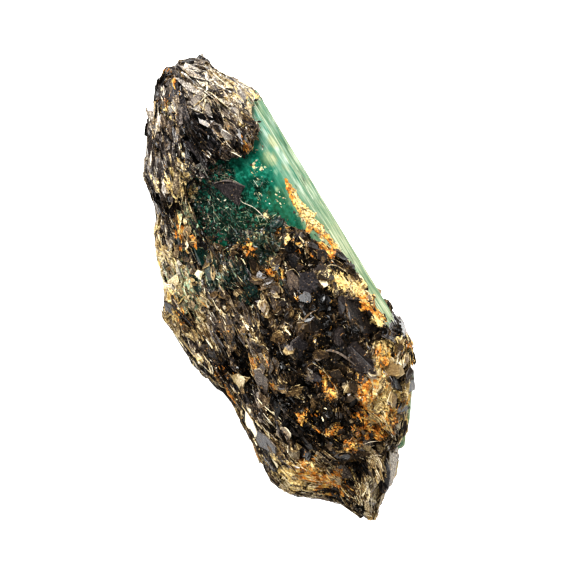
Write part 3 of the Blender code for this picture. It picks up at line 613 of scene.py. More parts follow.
def point_normals(points, faces):
    """The normal at each point of a mesh of four-sided faces."""
    a, b, c, d = (points[faces[:, k]] for k in range(4))
    area = np.cross(c - a, d - b)
    total = np.zeros_like(points)
    for k in range(4):
        np.add.at(total, faces[:, k], area)
    return unit(total)


def even_mesh(node, voxel):
    """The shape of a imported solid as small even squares, in millimetres."""
    piece = bpy.data.objects.new("even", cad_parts[node].data.copy())
    bpy.context.scene.collection.objects.link(piece)
    bm = bmesh.new()
    bm.from_mesh(piece.data)
    bmesh.ops.remove_doubles(bm, verts=bm.verts, dist=1e-6)
    bm.to_mesh(piece.data)
    bm.free()
    remesh = piece.modifiers.new("Remesh", "REMESH")
    remesh.mode = "VOXEL"
    remesh.voxel_size = voxel * MM
    mesh = bpy.data.meshes.new_from_object(piece.evaluated_get(bpy.context.evaluated_depsgraph_get()))
    bpy.data.objects.remove(piece)
    points = np.empty(len(mesh.vertices) * 3)
    mesh.vertices.foreach_get("co", points)
    faces = np.empty(len(mesh.loops), np.int64)
    mesh.loops.foreach_get("vertex_index", faces)
    bpy.data.meshes.remove(mesh)
    return points.reshape(-1, 3) / MM, faces.reshape(-1, 4)


def softened(points, faces, rounds):
    """Points evened out towards their neighbours."""
    sides = np.concatenate([faces[:, (k, (k + 1) % 4)] for k in range(4)])
    count = np.bincount(sides[:, 0], minlength=len(points))[:, None]
    for _ in range(rounds):
        total = np.zeros_like(points)
        np.add.at(total, sides[:, 0], points[sides[:, 1]])
        points = 0.4 * points + 0.6 * total / count
    return points


def mesh_piece(name, points, faces, finish, replaces=(), smooth=False):
    """A piece from points in millimetres and faces of equal size, which rides on the only body."""
    mesh = bpy.data.meshes.new(name)
    corners = faces.shape[1]
    points = points.copy()
    points[:, 2] = np.maximum(points[:, 2], 0.0)
    mesh.vertices.add(len(points))
    mesh.vertices.foreach_set("co", (points * MM).ravel())
    mesh.loops.add(faces.size)
    mesh.loops.foreach_set("vertex_index", faces.ravel().astype(np.int32))
    mesh.polygons.add(len(faces))
    mesh.polygons.foreach_set("loop_start", np.arange(0, faces.size, corners, dtype=np.int32))
    mesh.polygons.foreach_set("use_smooth", np.full(len(faces), smooth))
    mesh.update(calc_edges=True)
    mesh.materials.append(finish)
    piece = bpy.data.objects.new(name, mesh)
    bpy.context.scene.collection.objects.link(piece)
    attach(piece, "root")
    if replaces:
        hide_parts(*replaces)
    return piece


def paint(piece, domain, values):
    """Lays named values on a piece, one for each point or face."""
    for name, each in values.items():
        kind, key = ("FLOAT", "value") if np.ndim(each) == 1 else ("FLOAT_VECTOR", "vector")
        layer = piece.data.attributes.new(name, kind, domain)
        layer.data.foreach_set(key, np.asarray(each, np.float32).ravel())


# ---------------------------------------------------------------- materials


class Value:
    """A value inside a material. Arithmetic on it adds nodes."""

    def __init__(self, finish, socket):
        self.finish, self.socket = finish, socket

    def maths(self, operation, a, b=None):
        return self.finish.node("ShaderNodeMath", {"operation": operation}, {0: a, 1: b})

    def __add__(self, other):
        return self.maths("ADD", self, other)

    def __radd__(self, other):
        return self.maths("ADD", other, self)

    def __sub__(self, other):
        return self.maths("SUBTRACT", self, other)

    def __rsub__(self, other):
        return self.maths("SUBTRACT", other, self)

    def __mul__(self, other):
        return self.maths("MULTIPLY", self, other)

    def __rmul__(self, other):
        return self.maths("MULTIPLY", other, self)

    def between(self, low, high):
        """Eased from 0 below low to 1 above high."""
        inputs = {"Value": self, "From Min": low, "From Max": high}
        return self.finish.node("ShaderNodeMapRange", {"interpolation_type": "SMOOTHSTEP"}, inputs)


def set_stops(elements, stops):
    """Sets a colour ramp's stops from places and colours."""
    while len(elements) < len(stops):
        elements.new(0.5)
    for element, (place, colour) in zip(elements, stops):
        element.position, element.color = place, (*colour, 1.0)


class Finish:
    """A material under construction."""

    def __init__(self, name, **constants):
        self.material = bpy.data.materials.new(name)
        self.material.use_nodes = True
        self.tree = self.material.node_tree
        self.shader = self.tree.nodes["Principled BSDF"]
        self.feed(**constants)
        place = self.tree.nodes.new("ShaderNodeTexCoord").outputs["Object"]
        self.place = self.stretched(Value(self, place), (1 / MM,) * 3)

    def node(self, kind, settings, inputs, output=0):
        made = self.tree.nodes.new(kind)
        for name, value in settings.items():
            if name == "stops":
                set_stops(made.color_ramp.elements, value)
            else:
                setattr(made, name, value)
        for name, value in inputs.items():
            self.set(made.inputs[name], value)
        return Value(self, made.outputs[output])

    def set(self, socket, value):
        if isinstance(value, Value):
            self.tree.links.new(value.socket, socket)
        elif value is not None:
            socket.default_value = value

    def feed(self, **values):
        for socket, value in values.items():
            self.set(self.shader.inputs[socket.replace("_", " ")], value)

    def stretched(self, place, scale):
        return self.node("ShaderNodeVectorMath", {"operation": "MULTIPLY"}, {0: place, 1: scale})

    def painted(self, name, output="Fac"):
        return self.node("ShaderNodeAttribute", {"attribute_name": name}, {}, output)

    def curled(self, size, amount):
        """The places pushed about by noise, so that what is drawn on them curls."""
        inputs = {"Vector": self.place, "Scale": 1 / size, "Detail": 2.0}
        push = self.node("ShaderNodeTexNoise", {}, inputs, "Color")
        inputs = {0: push, 1: (amount,) * 3, 2: self.place}
        return self.node("ShaderNodeVectorMath", {"operation": "MULTIPLY_ADD"}, inputs)

    def grain(self, size, detail=2.0, stretch=(1, 1, 1), rough=0.55):
        """Noise from 0 to 1 with lumps of a size in millimetres."""
        place = self.stretched(self.place, tuple(s / size for s in stretch))
        inputs = {"Vector": place, "Scale": 1.0, "Detail": detail, "Roughness": rough}
        return self.node("ShaderNodeTexNoise", {}, inputs)

    def crumbs(self, size, stretch=(1, 1, 1)):
        """Random tones in cells of a size in millimetres."""
        place = self.stretched(self.place, tuple(s / size for s in stretch))
        cells = self.node("ShaderNodeTexVoronoi", {}, {"Vector": place, "Scale": 1.0}, "Color")
        return self.node("ShaderNodeSeparateColor", {}, {"Color": cells}, "Red")

    def seams(self, size, stretch=(1, 1, 1), place=None):
        """How far each place is from the seams between cells of a size in millimetres."""
        place = self.stretched(place or self.place, tuple(s / size for s in stretch))
        settings = {"feature": "DISTANCE_TO_EDGE"}
        return self.node("ShaderNodeTexVoronoi", settings, {"Vector": place, "Scale": 1.0}, "Distance")

    def mix(self, factor, a, b):
        colours = [(*c, 1.0) if isinstance(c, tuple) else c for c in (a, b)]
        return self.node("ShaderNodeMix", {"data_type": "RGBA"}, {0: factor, 6: colours[0], 7: colours[1]}, 2)

    def ramp(self, value, stops):
        return self.node("ShaderNodeValToRGB", {"stops": stops}, {"Fac": value})

    def bump(self, height, distance, strength=1.0):
        inputs = {"Height": height, "Distance": distance * MM, "Strength": strength}
        self.feed(Normal=self.node("ShaderNodeBump", {}, inputs))


WARM_MICA = [
    (0.0, (0.005, 0.004, 0.003)), (0.32, (0.034, 0.023, 0.014)), (0.56, (0.140, 0.092, 0.046)),
    (0.78, (0.40, 0.30, 0.145)), (1.0, (0.82, 0.72, 0.48)),
]
COOL_MICA = [
    (0.0, (0.005, 0.005, 0.005)), (0.32, (0.034, 0.030, 0.031)), (0.56, (0.110, 0.096, 0.090)),
    (0.78, (0.32, 0.285, 0.24)), (1.0, (0.82, 0.77, 0.67)),
]
RUST_DARK, RUST_BRIGHT = (0.16, 0.05, 0.012), (0.64, 0.27, 0.05)
CREAM_PALE, CREAM_YELLOW = (0.84, 0.70, 0.38), (0.66, 0.44, 0.14)
GREEN_DARK, GREEN_PALE = (0.006, 0.028, 0.022), (0.24, 0.36, 0.25)


def mica_finish(name, on_rock):
    """Mica: black to silver by its tone, warm or cool, under rust, cream and green, paler at its edges."""
    finish = Finish(name, Specular_IOR_Level=0.12, Coat_Roughness=0.15)
    finish.place = finish.painted("lay", "Vector")
    tone, rust, cream = finish.painted("tone"), finish.painted("rust"), finish.painted("cream")
    green, edge, cool, banded = (finish.painted(each) for each in ("green", "edge", "cool", "banded"))
    fine, speck = finish.grain(0.2, 3.0), finish.crumbs(0.15, (1.0, 0.6, 1.0))
    thread = finish.grain(0.14, 2.0, (1.0, 0.10, 1.0))
    strand = finish.grain(0.45, 3.0, (1.0, 0.14, 1.0))
    if on_rock:
        curl = finish.seams(0.7, (1.0, 0.6, 1.0), finish.curled(0.5, 0.7)).between(0.045, 0.0)
        streaks = (strand - 0.5) * 1.3 + (thread - 0.5) * 1.6
        lumps = (speck - 0.5) * 0.5 + (finish.grain(0.5, 4.0) - 0.5) * 1.2
        curl = curl * finish.grain(0.9, 1.0).between(0.45, 0.6) * 0.4
        tone = tone + lumps + banded * (streaks - lumps * 0.7) + curl
    else:
        # The plates' sides are paler: the frayed sheets' own paleness and a painted highlight along their
        # edges.
        tone = tone + (fine - 0.5) * (0.35 + 0.5 * banded) + (thread - 0.5) * 0.9 * banded + edge * 0.22
    body = finish.mix(cool, finish.ramp(tone, WARM_MICA), finish.ramp(tone, COOL_MICA))
    tint = finish.mix(tone.between(0.35, 0.95), GREEN_DARK, GREEN_PALE)
    body = finish.mix((green * (speck * 0.8 + 0.4)).between(0.35, 0.9) * 0.85, body, tint)
    crumbly = (fine - 0.5) * 1.4 + (speck - 0.5) * 0.4
    clay = finish.mix(speck, CREAM_YELLOW, CREAM_PALE)
    body = finish.mix((cream * 0.8 + crumbly).between(0.3, 0.7) * 0.9, body, clay)
    blotch = finish.grain(0.7, 3.0)
    ochre = finish.mix(blotch.between(0.46, 0.62), finish.mix(speck, RUST_DARK, RUST_BRIGHT), CREAM_YELLOW)
    body = finish.mix((rust + crumbly).between(0.3, 0.6), body, ochre)
    finish.feed(Base_Color=body)
    stained = (rust + cream).between(0.2, 0.9)
    finish.feed(Roughness=0.16 + 0.3 * fine * fine + 0.4 * stained + (0.2 if on_rock else 0.0))
    finish.feed(Coat_Weight=(1 - stained) * (0.1 if on_rock else 0.24))
    if on_rock:
        finish.bump(thread * banded + 0.6 * strand * banded + 0.5 * speck + finish.grain(0.3, 3.0), 0.09)
    else:
        finish.bump(finish.grain(0.45, 3.0, (1.0, 0.5, 1.0)) + 0.4 * thread * banded, 0.09)
    return finish.material


CLEAR_EMERALD = [
    (0.0, (0.06, 0.24, 0.17)), (0.3, (0.010, 0.135, 0.090)),
    (0.6, (0.002, 0.045, 0.030)), (1.0, (0.001, 0.006, 0.004)),
]
MILKY_EMERALD = [
    (0.10, (0.010, 0.12, 0.080)), (0.30, (0.045, 0.20, 0.140)), (0.48, (0.11, 0.25, 0.180)),
    (0.66, (0.21, 0.32, 0.240)), (0.84, (0.33, 0.42, 0.34)), (1.0, (0.52, 0.61, 0.53)),
]
WISP, WEB = (0.10, 0.30, 0.22), (0.20, 0.27, 0.20)
MOTTLE_PALE, MOTTLE_DARK = (0.04, 0.23, 0.165), (0.002, 0.045, 0.032)
STRAW_DEEP, STRAW_DARK, STRAW_PALE = (0.055, 0.085, 0.028), (0.20, 0.22, 0.11), (0.47, 0.45, 0.26)
FLANK_MARK = (0.04, 0.075, 0.04)
IRON_DARK, IRON_BRIGHT, IRON_FADED = (0.50, 0.20, 0.03), (0.84, 0.54, 0.16), (0.74, 0.72, 0.46)


def emerald_finish():
    """Emerald: green where it is clear and deep, milky on its bare flank, stained along its chipped arris."""
    finish = Finish(
        "emerald_green", IOR=1.58, Transmission_Weight=0.15, Specular_IOR_Level=0.0, Coat_Roughness=0.10,
        Subsurface_Weight=0.15, Subsurface_Radius=(0.5, 1.2, 0.9), Subsurface_Scale=MM,
    )
    mint, deep, stain = finish.painted("mint"), finish.painted("deep"), finish.painted("stain")
    cloud, olive = finish.painted("cloud"), finish.painted("olive")
    veil = finish.grain(0.9, 4.0, (1.5, 0.26, 0.5))
    streak = finish.grain(0.3, 3.0, (1.0, 0.05, 0.3))
    hair = finish.grain(0.11, 3.0, (1.0, 0.06, 0.3))
    fine = finish.grain(0.22, 4.0)
    clear = finish.ramp(deep + (veil - 0.5) * 0.7, CLEAR_EMERALD)
    wisps = (veil * 0.6 + fine * 0.4 + cloud * 0.2).between(0.62, 0.86)
    clear = finish.mix(wisps * 0.4, clear, WISP)
    mottle = finish.grain(0.45, 4.0)
    clear = finish.mix((mottle - 0.5).between(0.0, 0.18) * 0.7, clear, MOTTLE_PALE)
    clear = finish.mix((0.5 - mottle).between(0.0, 0.18) * 0.7, clear, MOTTLE_DARK)
    web = finish.seams(0.7, (1.2, 0.7, 1.2), finish.curled(0.6, 0.8)).between(0.05, 0.0)
    web = web * finish.grain(1.0, 2.0).between(0.42, 0.6)
    clear = finish.mix(web * deep.between(0.5, 0.85) * 0.7, clear, WEB)
    uneven = (streak - 0.5) * 1.9 + (hair - 0.5) * 1.8 + (veil - 0.5) * 1.6
    milky = finish.ramp(mint + (mint + 0.36) * (1 - finish.painted("even")) * uneven, MILKY_EMERALD)
    body = finish.mix((mint + (fine - 0.5) * 0.2).between(0.06, 0.36), clear, milky)
    straw = finish.mix(streak.between(0.4, 0.6), STRAW_DARK, STRAW_PALE)
    straw = finish.mix(mint.between(0.1, 0.4), STRAW_DEEP, straw)
    body = finish.mix(olive * (0.15 + fine) * (mint + 0.6), body, straw)
    marks = finish.grain(0.36, 4.0, (1.0, 0.13, 0.35)).between(0.56, 0.66)
    marks = marks * finish.grain(2.4, 2.0).between(0.48, 0.62)
    body = finish.mix(marks * mint.between(0.12, 0.3) * 0.8, body, FLANK_MARK)
    ochre = finish.mix(fine.between(0.36, 0.56), IRON_DARK, IRON_BRIGHT)
    ochre = finish.mix(stain.between(0.85, 0.4) * 0.8, ochre, IRON_FADED)
    body = finish.mix((stain + (fine - 0.5) * 0.6).between(0.22, 0.52), body, ochre)
    finish.feed(Base_Color=body)
    finish.feed(Roughness=0.14 + 0.8 * mint + 0.4 * stain + 0.16 * veil)
    finish.feed(Coat_Weight=0.15 * mint.between(0.25, 0.1))
    finish.bump(streak * 0.4 + fine * 0.6 + veil * mint * 2.0, 0.035)
    return finish.material


# ---------------------------------------------------------------- the schist


def bands(points):
    """Long bands along the lay, from -1 to 1, which stand up pale or lie low and black: the mica's own
    banding, with the black of the low ones partly painted shade.
    """
    return noise(combed(points, 0.75, 6.5), 17) + 0.6 * noise(combed(points, 0.28, 2.8), 18)


def calm(points):
    """1 amid the patch beside the window where the mica lies flat and every way, and 0 far from it."""
    return np.exp(-(((points[:, 0] + 6.5) / 4.5) ** 2) - ((points[:, 1] - 7.0) / 6.5) ** 2)


def bandedness(points):
    """How far the bands take over: least among the books of mica towards the bare flank."""
    lower = eased(5.0, -3.0, points[:, 0] - 0.15 * points[:, 1])
    ends = np.maximum(eased(15.0, 19.0, points[:, 1]), eased(-19.0, -23.0, points[:, 1]))
    return np.maximum(lower * (1.0 - 0.7 * calm(points)), ends)


def stains_at(points):
    """Everything that changes the schist's colour from place to place."""
    pale, dark = patches(points, PALE, 31), patches(points, DARK, 32)
    banded = bandedness(points)
    contrast = (0.12 + 0.33 * banded) * (1 - 0.45 * eased(CAP_START, CAP_WHOLE, points[:, 1]))
    tone = 0.26 + 0.03 * banded + contrast * bands(points) + 0.12 * broken(points / 1.4, 19)
    tone += 0.24 * patches(points, SILVERY, 33)
    tone += 0.42 * pale - 0.34 * dark
    above = eased(7.0, 8.5, points[:, 2])
    side_rust = 0.8 * eased(0.35, 0.65, broken(combed(points, 2.2, 4.0), 43))
    spots = 0.7 * eased(0.55, 0.85, broken(points / 1.5, 45)) * above * (1 - 0.9 * banded)
    rust = np.maximum(patches(points, RUST, 41) * above + (1 - above) * side_rust, spots)
    cream = patches(points, CREAM, 42) * above
    cool_streaks = eased(0.0, 0.6, broken(combed(points, 1.2, 3.0), 47))
    return {
        "tone": tone - 0.45 * np.maximum(tone - 0.6, 0),
        "rust": rust,
        "cream": np.maximum(cream, 0.8 * rust * (noise(combed(points, 0.35, 1.2), 49) > 0.1)),
        "green": patches(points, GREENISH, 44) * above,
        "cool": 0.5 * eased(14.0, 19.0, points[:, 1]) + 0.7 * cool_streaks,
        "banded": banded,
    }


# Slabs of mica in the rock's surface: width, length, step, tilt, seed.
SLABS = [(0.9, 4.6, 0.55, 0.55, 5), (0.42, 2.0, 0.36, 0.4, 8)]


def carve_schist(crystal):
    """The schist's surface: ledges and slabs of mica that lie along the grain, and splinters between them.

    It gives the points before, their normals, the points after, the faces and how far each point was lifted.
    """
    points, faces = even_mesh("mica_schist", ROCK_VOXEL)
    normals = point_normals(points, faces)
    free = eased(0.35, 0.9, crystal.gaps(points, 1.0))
    free *= 1 - eased(0.6, 0.1, points[:, 2]) * eased(-0.6, -0.9, normals[:, 2])
    lift = 0.30 * broken(combed(points, 2.0, 5.0), 3)
    lift += 0.4 * bandedness(points) * np.minimum(bands(points), 0.3)
    lift -= 0.12
    for across, along, step, tilt, seed in SLABS:
        cell, offset, edge = slabs(combed(points, across, along), seed)
        height, roll, pitch = (hashed(cell, seed + k) for k in (50, 51, 52))
        turn = 2 * (roll - 0.5) * offset[:, 0] + (pitch - 0.5) * offset[:, 1]
        lift += step * (height - 0.6) + tilt * across * turn - 0.2 * step * eased(0.12, 0.0, edge)
    for x, y, radius, depth in HOLLOWS:
        lift -= depth * np.exp(-((points[:, 0] - x) ** 2 + (points[:, 1] - y) ** 2) / radius**2)
    lift = np.clip(lift + 0.10 * noise(points / 0.4, 12), -1.1, 0.3)
    return points, normals, points + normals * (free * lift)[:, None], faces, lift


def turned(vectors, axes, angles):
    """Vectors turned about axes of unit length."""
    cos, sin = np.cos(angles)[:, None], np.sin(angles)[:, None]
    dot = np.sum(vectors * axes, axis=1, keepdims=True)
    return vectors * cos + np.cross(axes, vectors) * sin + axes * dot * (1 - cos)


def closed_plates(rims, normals, thickness):
    """Closed plates from rims of equal corner count.

    It gives the points, the triangles, which triangles are edges, and how many triangles a plate has.
    """
    count, corners = rims.shape[:2]
    rise = (normals * thickness[:, None] / 2)[:, None]
    points = np.concatenate([rims + rise, rims - rise], axis=1)
    k = np.arange(corners)
    after = (k + 1) % corners
    fan = np.arange(1, corners - 1)
    lid = np.stack([np.zeros_like(fan), fan + 1, fan], axis=1)
    base = np.stack([np.zeros_like(fan), fan, fan + 1], axis=1) + corners
    upper = np.stack([k, after, k + corners], axis=1)
    lower = np.stack([after, after + corners, k + corners], axis=1)
    one = np.concatenate([lid, base, upper, lower])
    faces = (one[None] + (np.arange(count) * 2 * corners)[:, None, None]).reshape(-1, 3)
    edge = np.tile(np.repeat([0.0, 1.0], [2 * len(fan), 2 * corners]), count)
    return points.reshape(-1, 3), faces, edge, len(one)


def cut_plates(centres, along, normal, length, width, thickness, bend, corners, uneven, rng):
    """Plates with uneven corners, each bent along its length."""
    count = len(centres)
    across = np.cross(along, normal)
    turn = 2 * math.pi * (np.arange(corners) + 0.5 + rng.uniform(-0.38, 0.38, (count, corners))) / corners
    reach = rng.uniform(*uneven, (count, corners))
    x, y = np.sin(turn) * reach * width[:, None] / 2, np.cos(turn) * reach * length[:, None] / 2
    z = bend[:, None] * ((2 * y / length[:, None]) ** 2 - 0.4) * length[:, None]
    rims = centres[:, None] + across[:, None] * x[..., None]
    rims = rims + along[:, None] * y[..., None] + normal[:, None] * z[..., None]
    return closed_plates(rims, normal, thickness)


def past_flank(points):
    """Whether each point stands out past the crystal's bare flank."""
    return (points[:, 0] > FLANK_X) & (points[:, 1] > FLANK_END_Y)


def lay_mica(
    surface, name, finish, count, weight, length, ratio, thickness, corners, bunch=1, spacing=1.0, layers=1,
    swing=8.0, roll=(-60, 60), pitch=10.0, bend=0.03, bright=0.06, spread=0.4, loft=0.22, uneven=(0.55, 1.15),
    stains=stains_at,
):
    """Mica over a surface, in bunches side by side or in stacked layers.

    The width is a share of the length. Swing, roll and pitch are degrees off the lay, about it and along it.
    Bright is the share of flakes given a pale tone as a painted glint, a painted highlight, and spread is how
    much the tones differ.
    The loft is how high a flake may stand over the surface.
    """
    rng = np.random.default_rng(SEED + len(name) + count)
    centre, up = surface.spots(count, weight, rng)
    along = turned(lay_direction(centre, up), up, np.radians(rng.normal(0, swing, count)))
    tilt = np.radians(rng.uniform(*roll, count))
    normal = turned(up, along, tilt)
    long = rng.uniform(0, 1, count) ** 1.8 * (length[1] - length[0]) + length[0]
    wide = long * rng.uniform(*ratio, count)
    values = stains(centre)
    shade = spread * (rng.random(count) - 0.5)
    centre = centre + up * (0.1 * wide * np.abs(np.sin(tilt)))[:, None]

    def repeated(each):
        return np.repeat(each, bunch * layers, axis=0)

    total = count * bunch * layers
    side = np.tile(np.repeat(np.arange(bunch) - (bunch - 1) / 2, layers), count)
    level = np.tile(np.arange(layers), count * bunch)
    centre, along, normal, long, wide = (repeated(each) for each in (centre, along, normal, long, wide))
    lean = repeated(rng.uniform(-pitch, pitch, count))
    lean = np.radians(lean + rng.normal(0, 2.0 if layers > 1 else pitch / 3, total))
    across = np.cross(along, normal)
    normal, along = turned(normal, across, lean), turned(along, across, lean)
    if bunch > 1:
        normal = turned(normal, along, np.radians(rng.normal(0, 14, total)))
        long, wide = long * rng.uniform(0.45, 1.05, total), wide * rng.uniform(0.5, 1.2, total)
    thick = rng.uniform(*thickness, total)
    shift = across * (side * wide * spacing + rng.normal(0, 0.1, total) * wide)[:, None]
    shift += along * (rng.normal(0, 0.3 if bunch > 1 else 0.04, total) * long)[:, None]
    if bunch > 1:
        centre, shift = surface.draped(centre + shift, 0.06), rng.normal(0, 0.05, (total, 1)) * normal
    if layers > 1:
        slip = across * (rng.normal(0, 0.06, total) * wide)[:, None]
        shift += slip + along * (rng.normal(0, 0.06, total) * long)[:, None]
        along = turned(along, normal, np.radians(rng.normal(0, 5, total)))
    shift += normal * (level * thick * 1.3)[:, None]
    shrink = 1 - level * rng.uniform(0.02, 0.12, total)
    bends = rng.normal(0, bend, total)
    shapes, faces, edge, each = cut_plates(
        centre + shift, along, normal, long * shrink, wide * shrink, thick, bends, corners, uneven, rng
    )
    laid = surface.draped(shapes, loft)
    moved = np.linalg.norm(laid - shapes, axis=1).reshape(total, -1).max(axis=1)
    kept = moved < 0.25 + 0.14 * long
    kept &= ~past_flank(laid).reshape(total, -1).any(axis=1)
    values = {key: repeated(value) for key, value in values.items()}
    values["tone"] = values["tone"] + repeated(shade) + rng.normal(0, 0.09, total)
    values["tone"] += np.where(level < layers - 1, 0.10, 0.0) - 0.08 * (layers > 2)
    # Painted highlight: a share of the small flakes is given a pale tone that stands for a glint of light.
    painted_gleam = (repeated(rng.random(count)) < bright) & (wide < 0.6)
    values["tone"] -= 0.25 * np.maximum(values["tone"] - 0.62, 0)
    values["tone"] = np.where(painted_gleam, rng.uniform(0.6, 0.95, total), values["tone"])
    values["cool"] = np.clip(values["cool"] + rng.normal(0, 0.3, total), 0, 1)
    for stain in ("rust", "cream"):
        share = eased(0.0, 0.6, rng.random(total)) * (1 - 0.45 * eased(0.3, 0.8, wide))
        values[stain] = values[stain] * share
    sound = np.repeat(kept, each)
    corners_kept = np.repeat(kept, 2 * corners)
    renumbered = np.cumsum(corners_kept) - 1
    laid = laid[corners_kept]
    piece = mesh_piece(name, laid, renumbered[faces[sound]], finish)
    paint(piece, "FACE", {key: np.repeat(value[kept], each) for key, value in values.items()})
    paint(piece, "FACE", {"edge": edge[sound]})
    paint(piece, "POINT", {"lay": lay_places(laid)})


def under_chosen(places, outlines):
    """Whether each place lies under a chosen plate."""
    inside = np.zeros(len(places), bool)
    for outline in outlines:
        odd = np.zeros(len(places), bool)
        for (x, y), (next_x, next_y) in zip(outline, outline[1:] + outline[:1]):
            spans = (y > places[:, 1]) != (next_y > places[:, 1])
            odd ^= spans & (places[:, 0] < x + (next_x - x) * (places[:, 1] - y) / (next_y - y + 1e-9))
        inside |= odd
    return inside & (places[:, 2] > FRONT_Z)


def seen(surface):
    """More mica where the specimen is shown from: its front, then its sides, and least underneath."""
    share = 0.3 + 0.7 * eased(-0.2, 0.6, surface.facing[:, 2])
    return np.where((surface.middle[:, 2] < FOOT_Z) | surface.under, 0.0, share) * surface.clear


def book_share(surface):
    """1 where books of mica show, towards the bare flank, and 0 where the schist is sheaves and splinters."""
    places = surface.middle
    inner = eased(-5.0, 0.0, places[:, 0] - 0.25 * places[:, 1])
    return inner * eased(17.0, 13.0, places[:, 1]) * eased(-23.0, -19.0, places[:, 1])


def booky(surface):
    return seen(surface) * book_share(surface)


def in_cap(surface):
    """1 in the schist that caps the crystal's end."""
    return eased(CAP_START, CAP_WHOLE, surface.middle[:, 1])


def capping(surface):
    return seen(surface) * in_cap(surface)


def splintery(surface):
    return seen(surface) * (1.0 - 0.92 * book_share(surface)) * (1.0 - 0.7 * calm(surface.middle))


def flat_lying(surface):
    return seen(surface) * calm(surface.middle)


def between_books(surface):
    crowded = (1.0 - 0.6 * book_share(surface)) * (1.0 - 0.6 * in_cap(surface))
    return seen(surface) * crowded * (1.0 - 0.6 * calm(surface.middle))


def stained(surface):
    """Crusts gather where the schist is stained."""
    stain = patches(surface.middle, RUST, 41) + patches(surface.middle, CREAM, 42)
    return seen(surface) * np.clip(stain, 0, 1) ** 1.5


# The schist's mica and crust: count, where, length, width as a share of it, thickness, corners, the rest.
MICA = {
    "mica_books": (
        340, booky, (1.1, 2.6), (0.55, 0.9), (0.07, 0.13), 6,
        dict(layers=4, swing=50, roll=(-28, 28), pitch=24, bend=0.02, bright=0.0, spread=0.2, loft=0.6,
             uneven=(0.6, 1.15)),
    ),
    "mica_chips": (
        1000, booky, (0.4, 1.4), (0.3, 0.8), (0.05, 0.1), 5,
        dict(layers=2, swing=60, roll=(-50, 50), pitch=34, bright=0.04, spread=0.5, loft=0.4),
    ),
    "mica_hairs": (
        360, booky, (0.5, 1.5), (0.12, 0.3), (0.03, 0.06), 10,
        dict(swing=50, roll=(76, 100), pitch=8, bend=0.12, bright=0.15, spread=0.5, loft=0.45,
             uneven=(0.95, 1.05)),
    ),
    "mica_flats": (
        700, flat_lying, (0.5, 1.6), (0.5, 0.9), (0.05, 0.09), 6,
        dict(layers=2, swing=60, roll=(-26, 26), pitch=20, bright=0.0, spread=0.35, loft=0.4),
    ),
    "mica_blades": (
        1400, splintery, (1.2, 5.6), (0.14, 0.42), (0.05, 0.1), 6,
        dict(bunch=4, spacing=0.8, swing=5, roll=(-70, 70), pitch=5, bend=0.02, bright=0.05, spread=0.3),
    ),
    "cap_blades": (
        300, capping, (2.2, 5.5), (0.18, 0.42), (0.06, 0.12), 6,
        dict(bunch=3, spacing=0.7, swing=6, roll=(-50, 50), pitch=6, bend=0.02, bright=0.04, spread=0.3),
    ),
    "mica_splinters": (
        2800, between_books, (0.7, 3.0), (0.06, 0.2), (0.05, 0.1), 4,
        dict(bunch=5, spacing=1.1, swing=9, roll=(-75, 75), pitch=7, bend=0.0, bright=0.08),
    ),
    "mica_scales": (
        3500, between_books, (0.25, 0.9), (0.3, 0.8), (0.03, 0.07), 5,
        dict(swing=30, pitch=20, bright=0.03),
    ),
    "mica_grit": (
        4000, seen, (0.12, 0.36), (0.5, 1.0), (0.06, 0.2), 4,
        dict(swing=90, roll=(-90, 90), pitch=60, bend=0.0, bright=0.03),
    ),
    "rust_crust": (
        7000, stained, (0.12, 0.45), (0.4, 1.0), (0.06, 0.2), 4,
        dict(swing=60, roll=(-70, 70), pitch=40, bend=0.0, bright=0.04, loft=0.4),
    ),
}


RIM_STEPS = 3
PLATE_THICKNESS, EDGE_THICKNESS, LAYER_STEP = 0.12, 0.06, 0.15
# How high a placed plate or edge may stand over the surface, and how far off the surface is looked for.
PLATE_LOFT, EDGE_LOFT, PLACED_REACH = 0.55, 0.45, 9.0


def stacked_plates(surface, name, finish, chosen):
    """The plates that are big enough to place one by one, each split into layers."""
    rng = np.random.default_rng(SEED + 7)
    parts, start = [], 0
    for corners, tone, cool, slope_x, slope_y, lift, layers in chosen:
        outline = np.array(corners)
        middle = outline.mean(axis=0)
        away = outline - middle
        heights = np.array([surface.top(*corner) for corner in outline])
        plane = np.linalg.lstsq(np.c_[away, np.ones(len(away))], heights, rcond=None)[0]
        slope_x, slope_y, height = plane[0] + slope_x, plane[1] + slope_y, plane[2] + lift
        share = np.linspace(0, 1, RIM_STEPS, endpoint=False)[:, None]
        after = np.roll(outline, -1, axis=0)
        rim = np.concatenate([corner + (other - corner) * share for corner, other in zip(outline, after)])
        for k in range(layers):
            ragged = middle + (rim - middle) * (1 + rng.normal(0, 0.035, (len(rim), 1)) + 0.05 * k)
            away = ragged - middle
            z = height + slope_x * away[:, 0] + slope_y * away[:, 1] - LAYER_STEP * k
            z += 0.06 * noise(np.c_[ragged, rim[:, :1]] / 0.9, 3)
            rims = surface.draped(np.c_[ragged, z], PLATE_LOFT, PLACED_REACH)[None]
            normal = unit(np.array([[-slope_x, -slope_y, 1.0]]))
            points, faces, edge, each = closed_plates(rims, normal, np.array([PLATE_THICKNESS]))
            values = {
                "tone": tone + 0.08 * rng.normal() + 0.12 * (k > 0), "cool": cool,
                "rust": 0.25 * (k > 0) * (1 - cool), "cream": 0.0, "green": 0.0, "banded": 0.6,
            }
            values = {key: np.full(each, value) for key, value in values.items()} | {"edge": edge}
            parts.append((points, faces + start, values))
            start += len(points)
    points = np.concatenate([part[0] for part in parts])
    piece = mesh_piece(name, points, np.concatenate([part[1] for part in parts]), finish)
    paint(piece, "POINT", {"lay": lay_places(points)})
    paint(piece, "FACE", {key: np.concatenate([part[2][key] for part in parts]) for key in parts[0][2]})


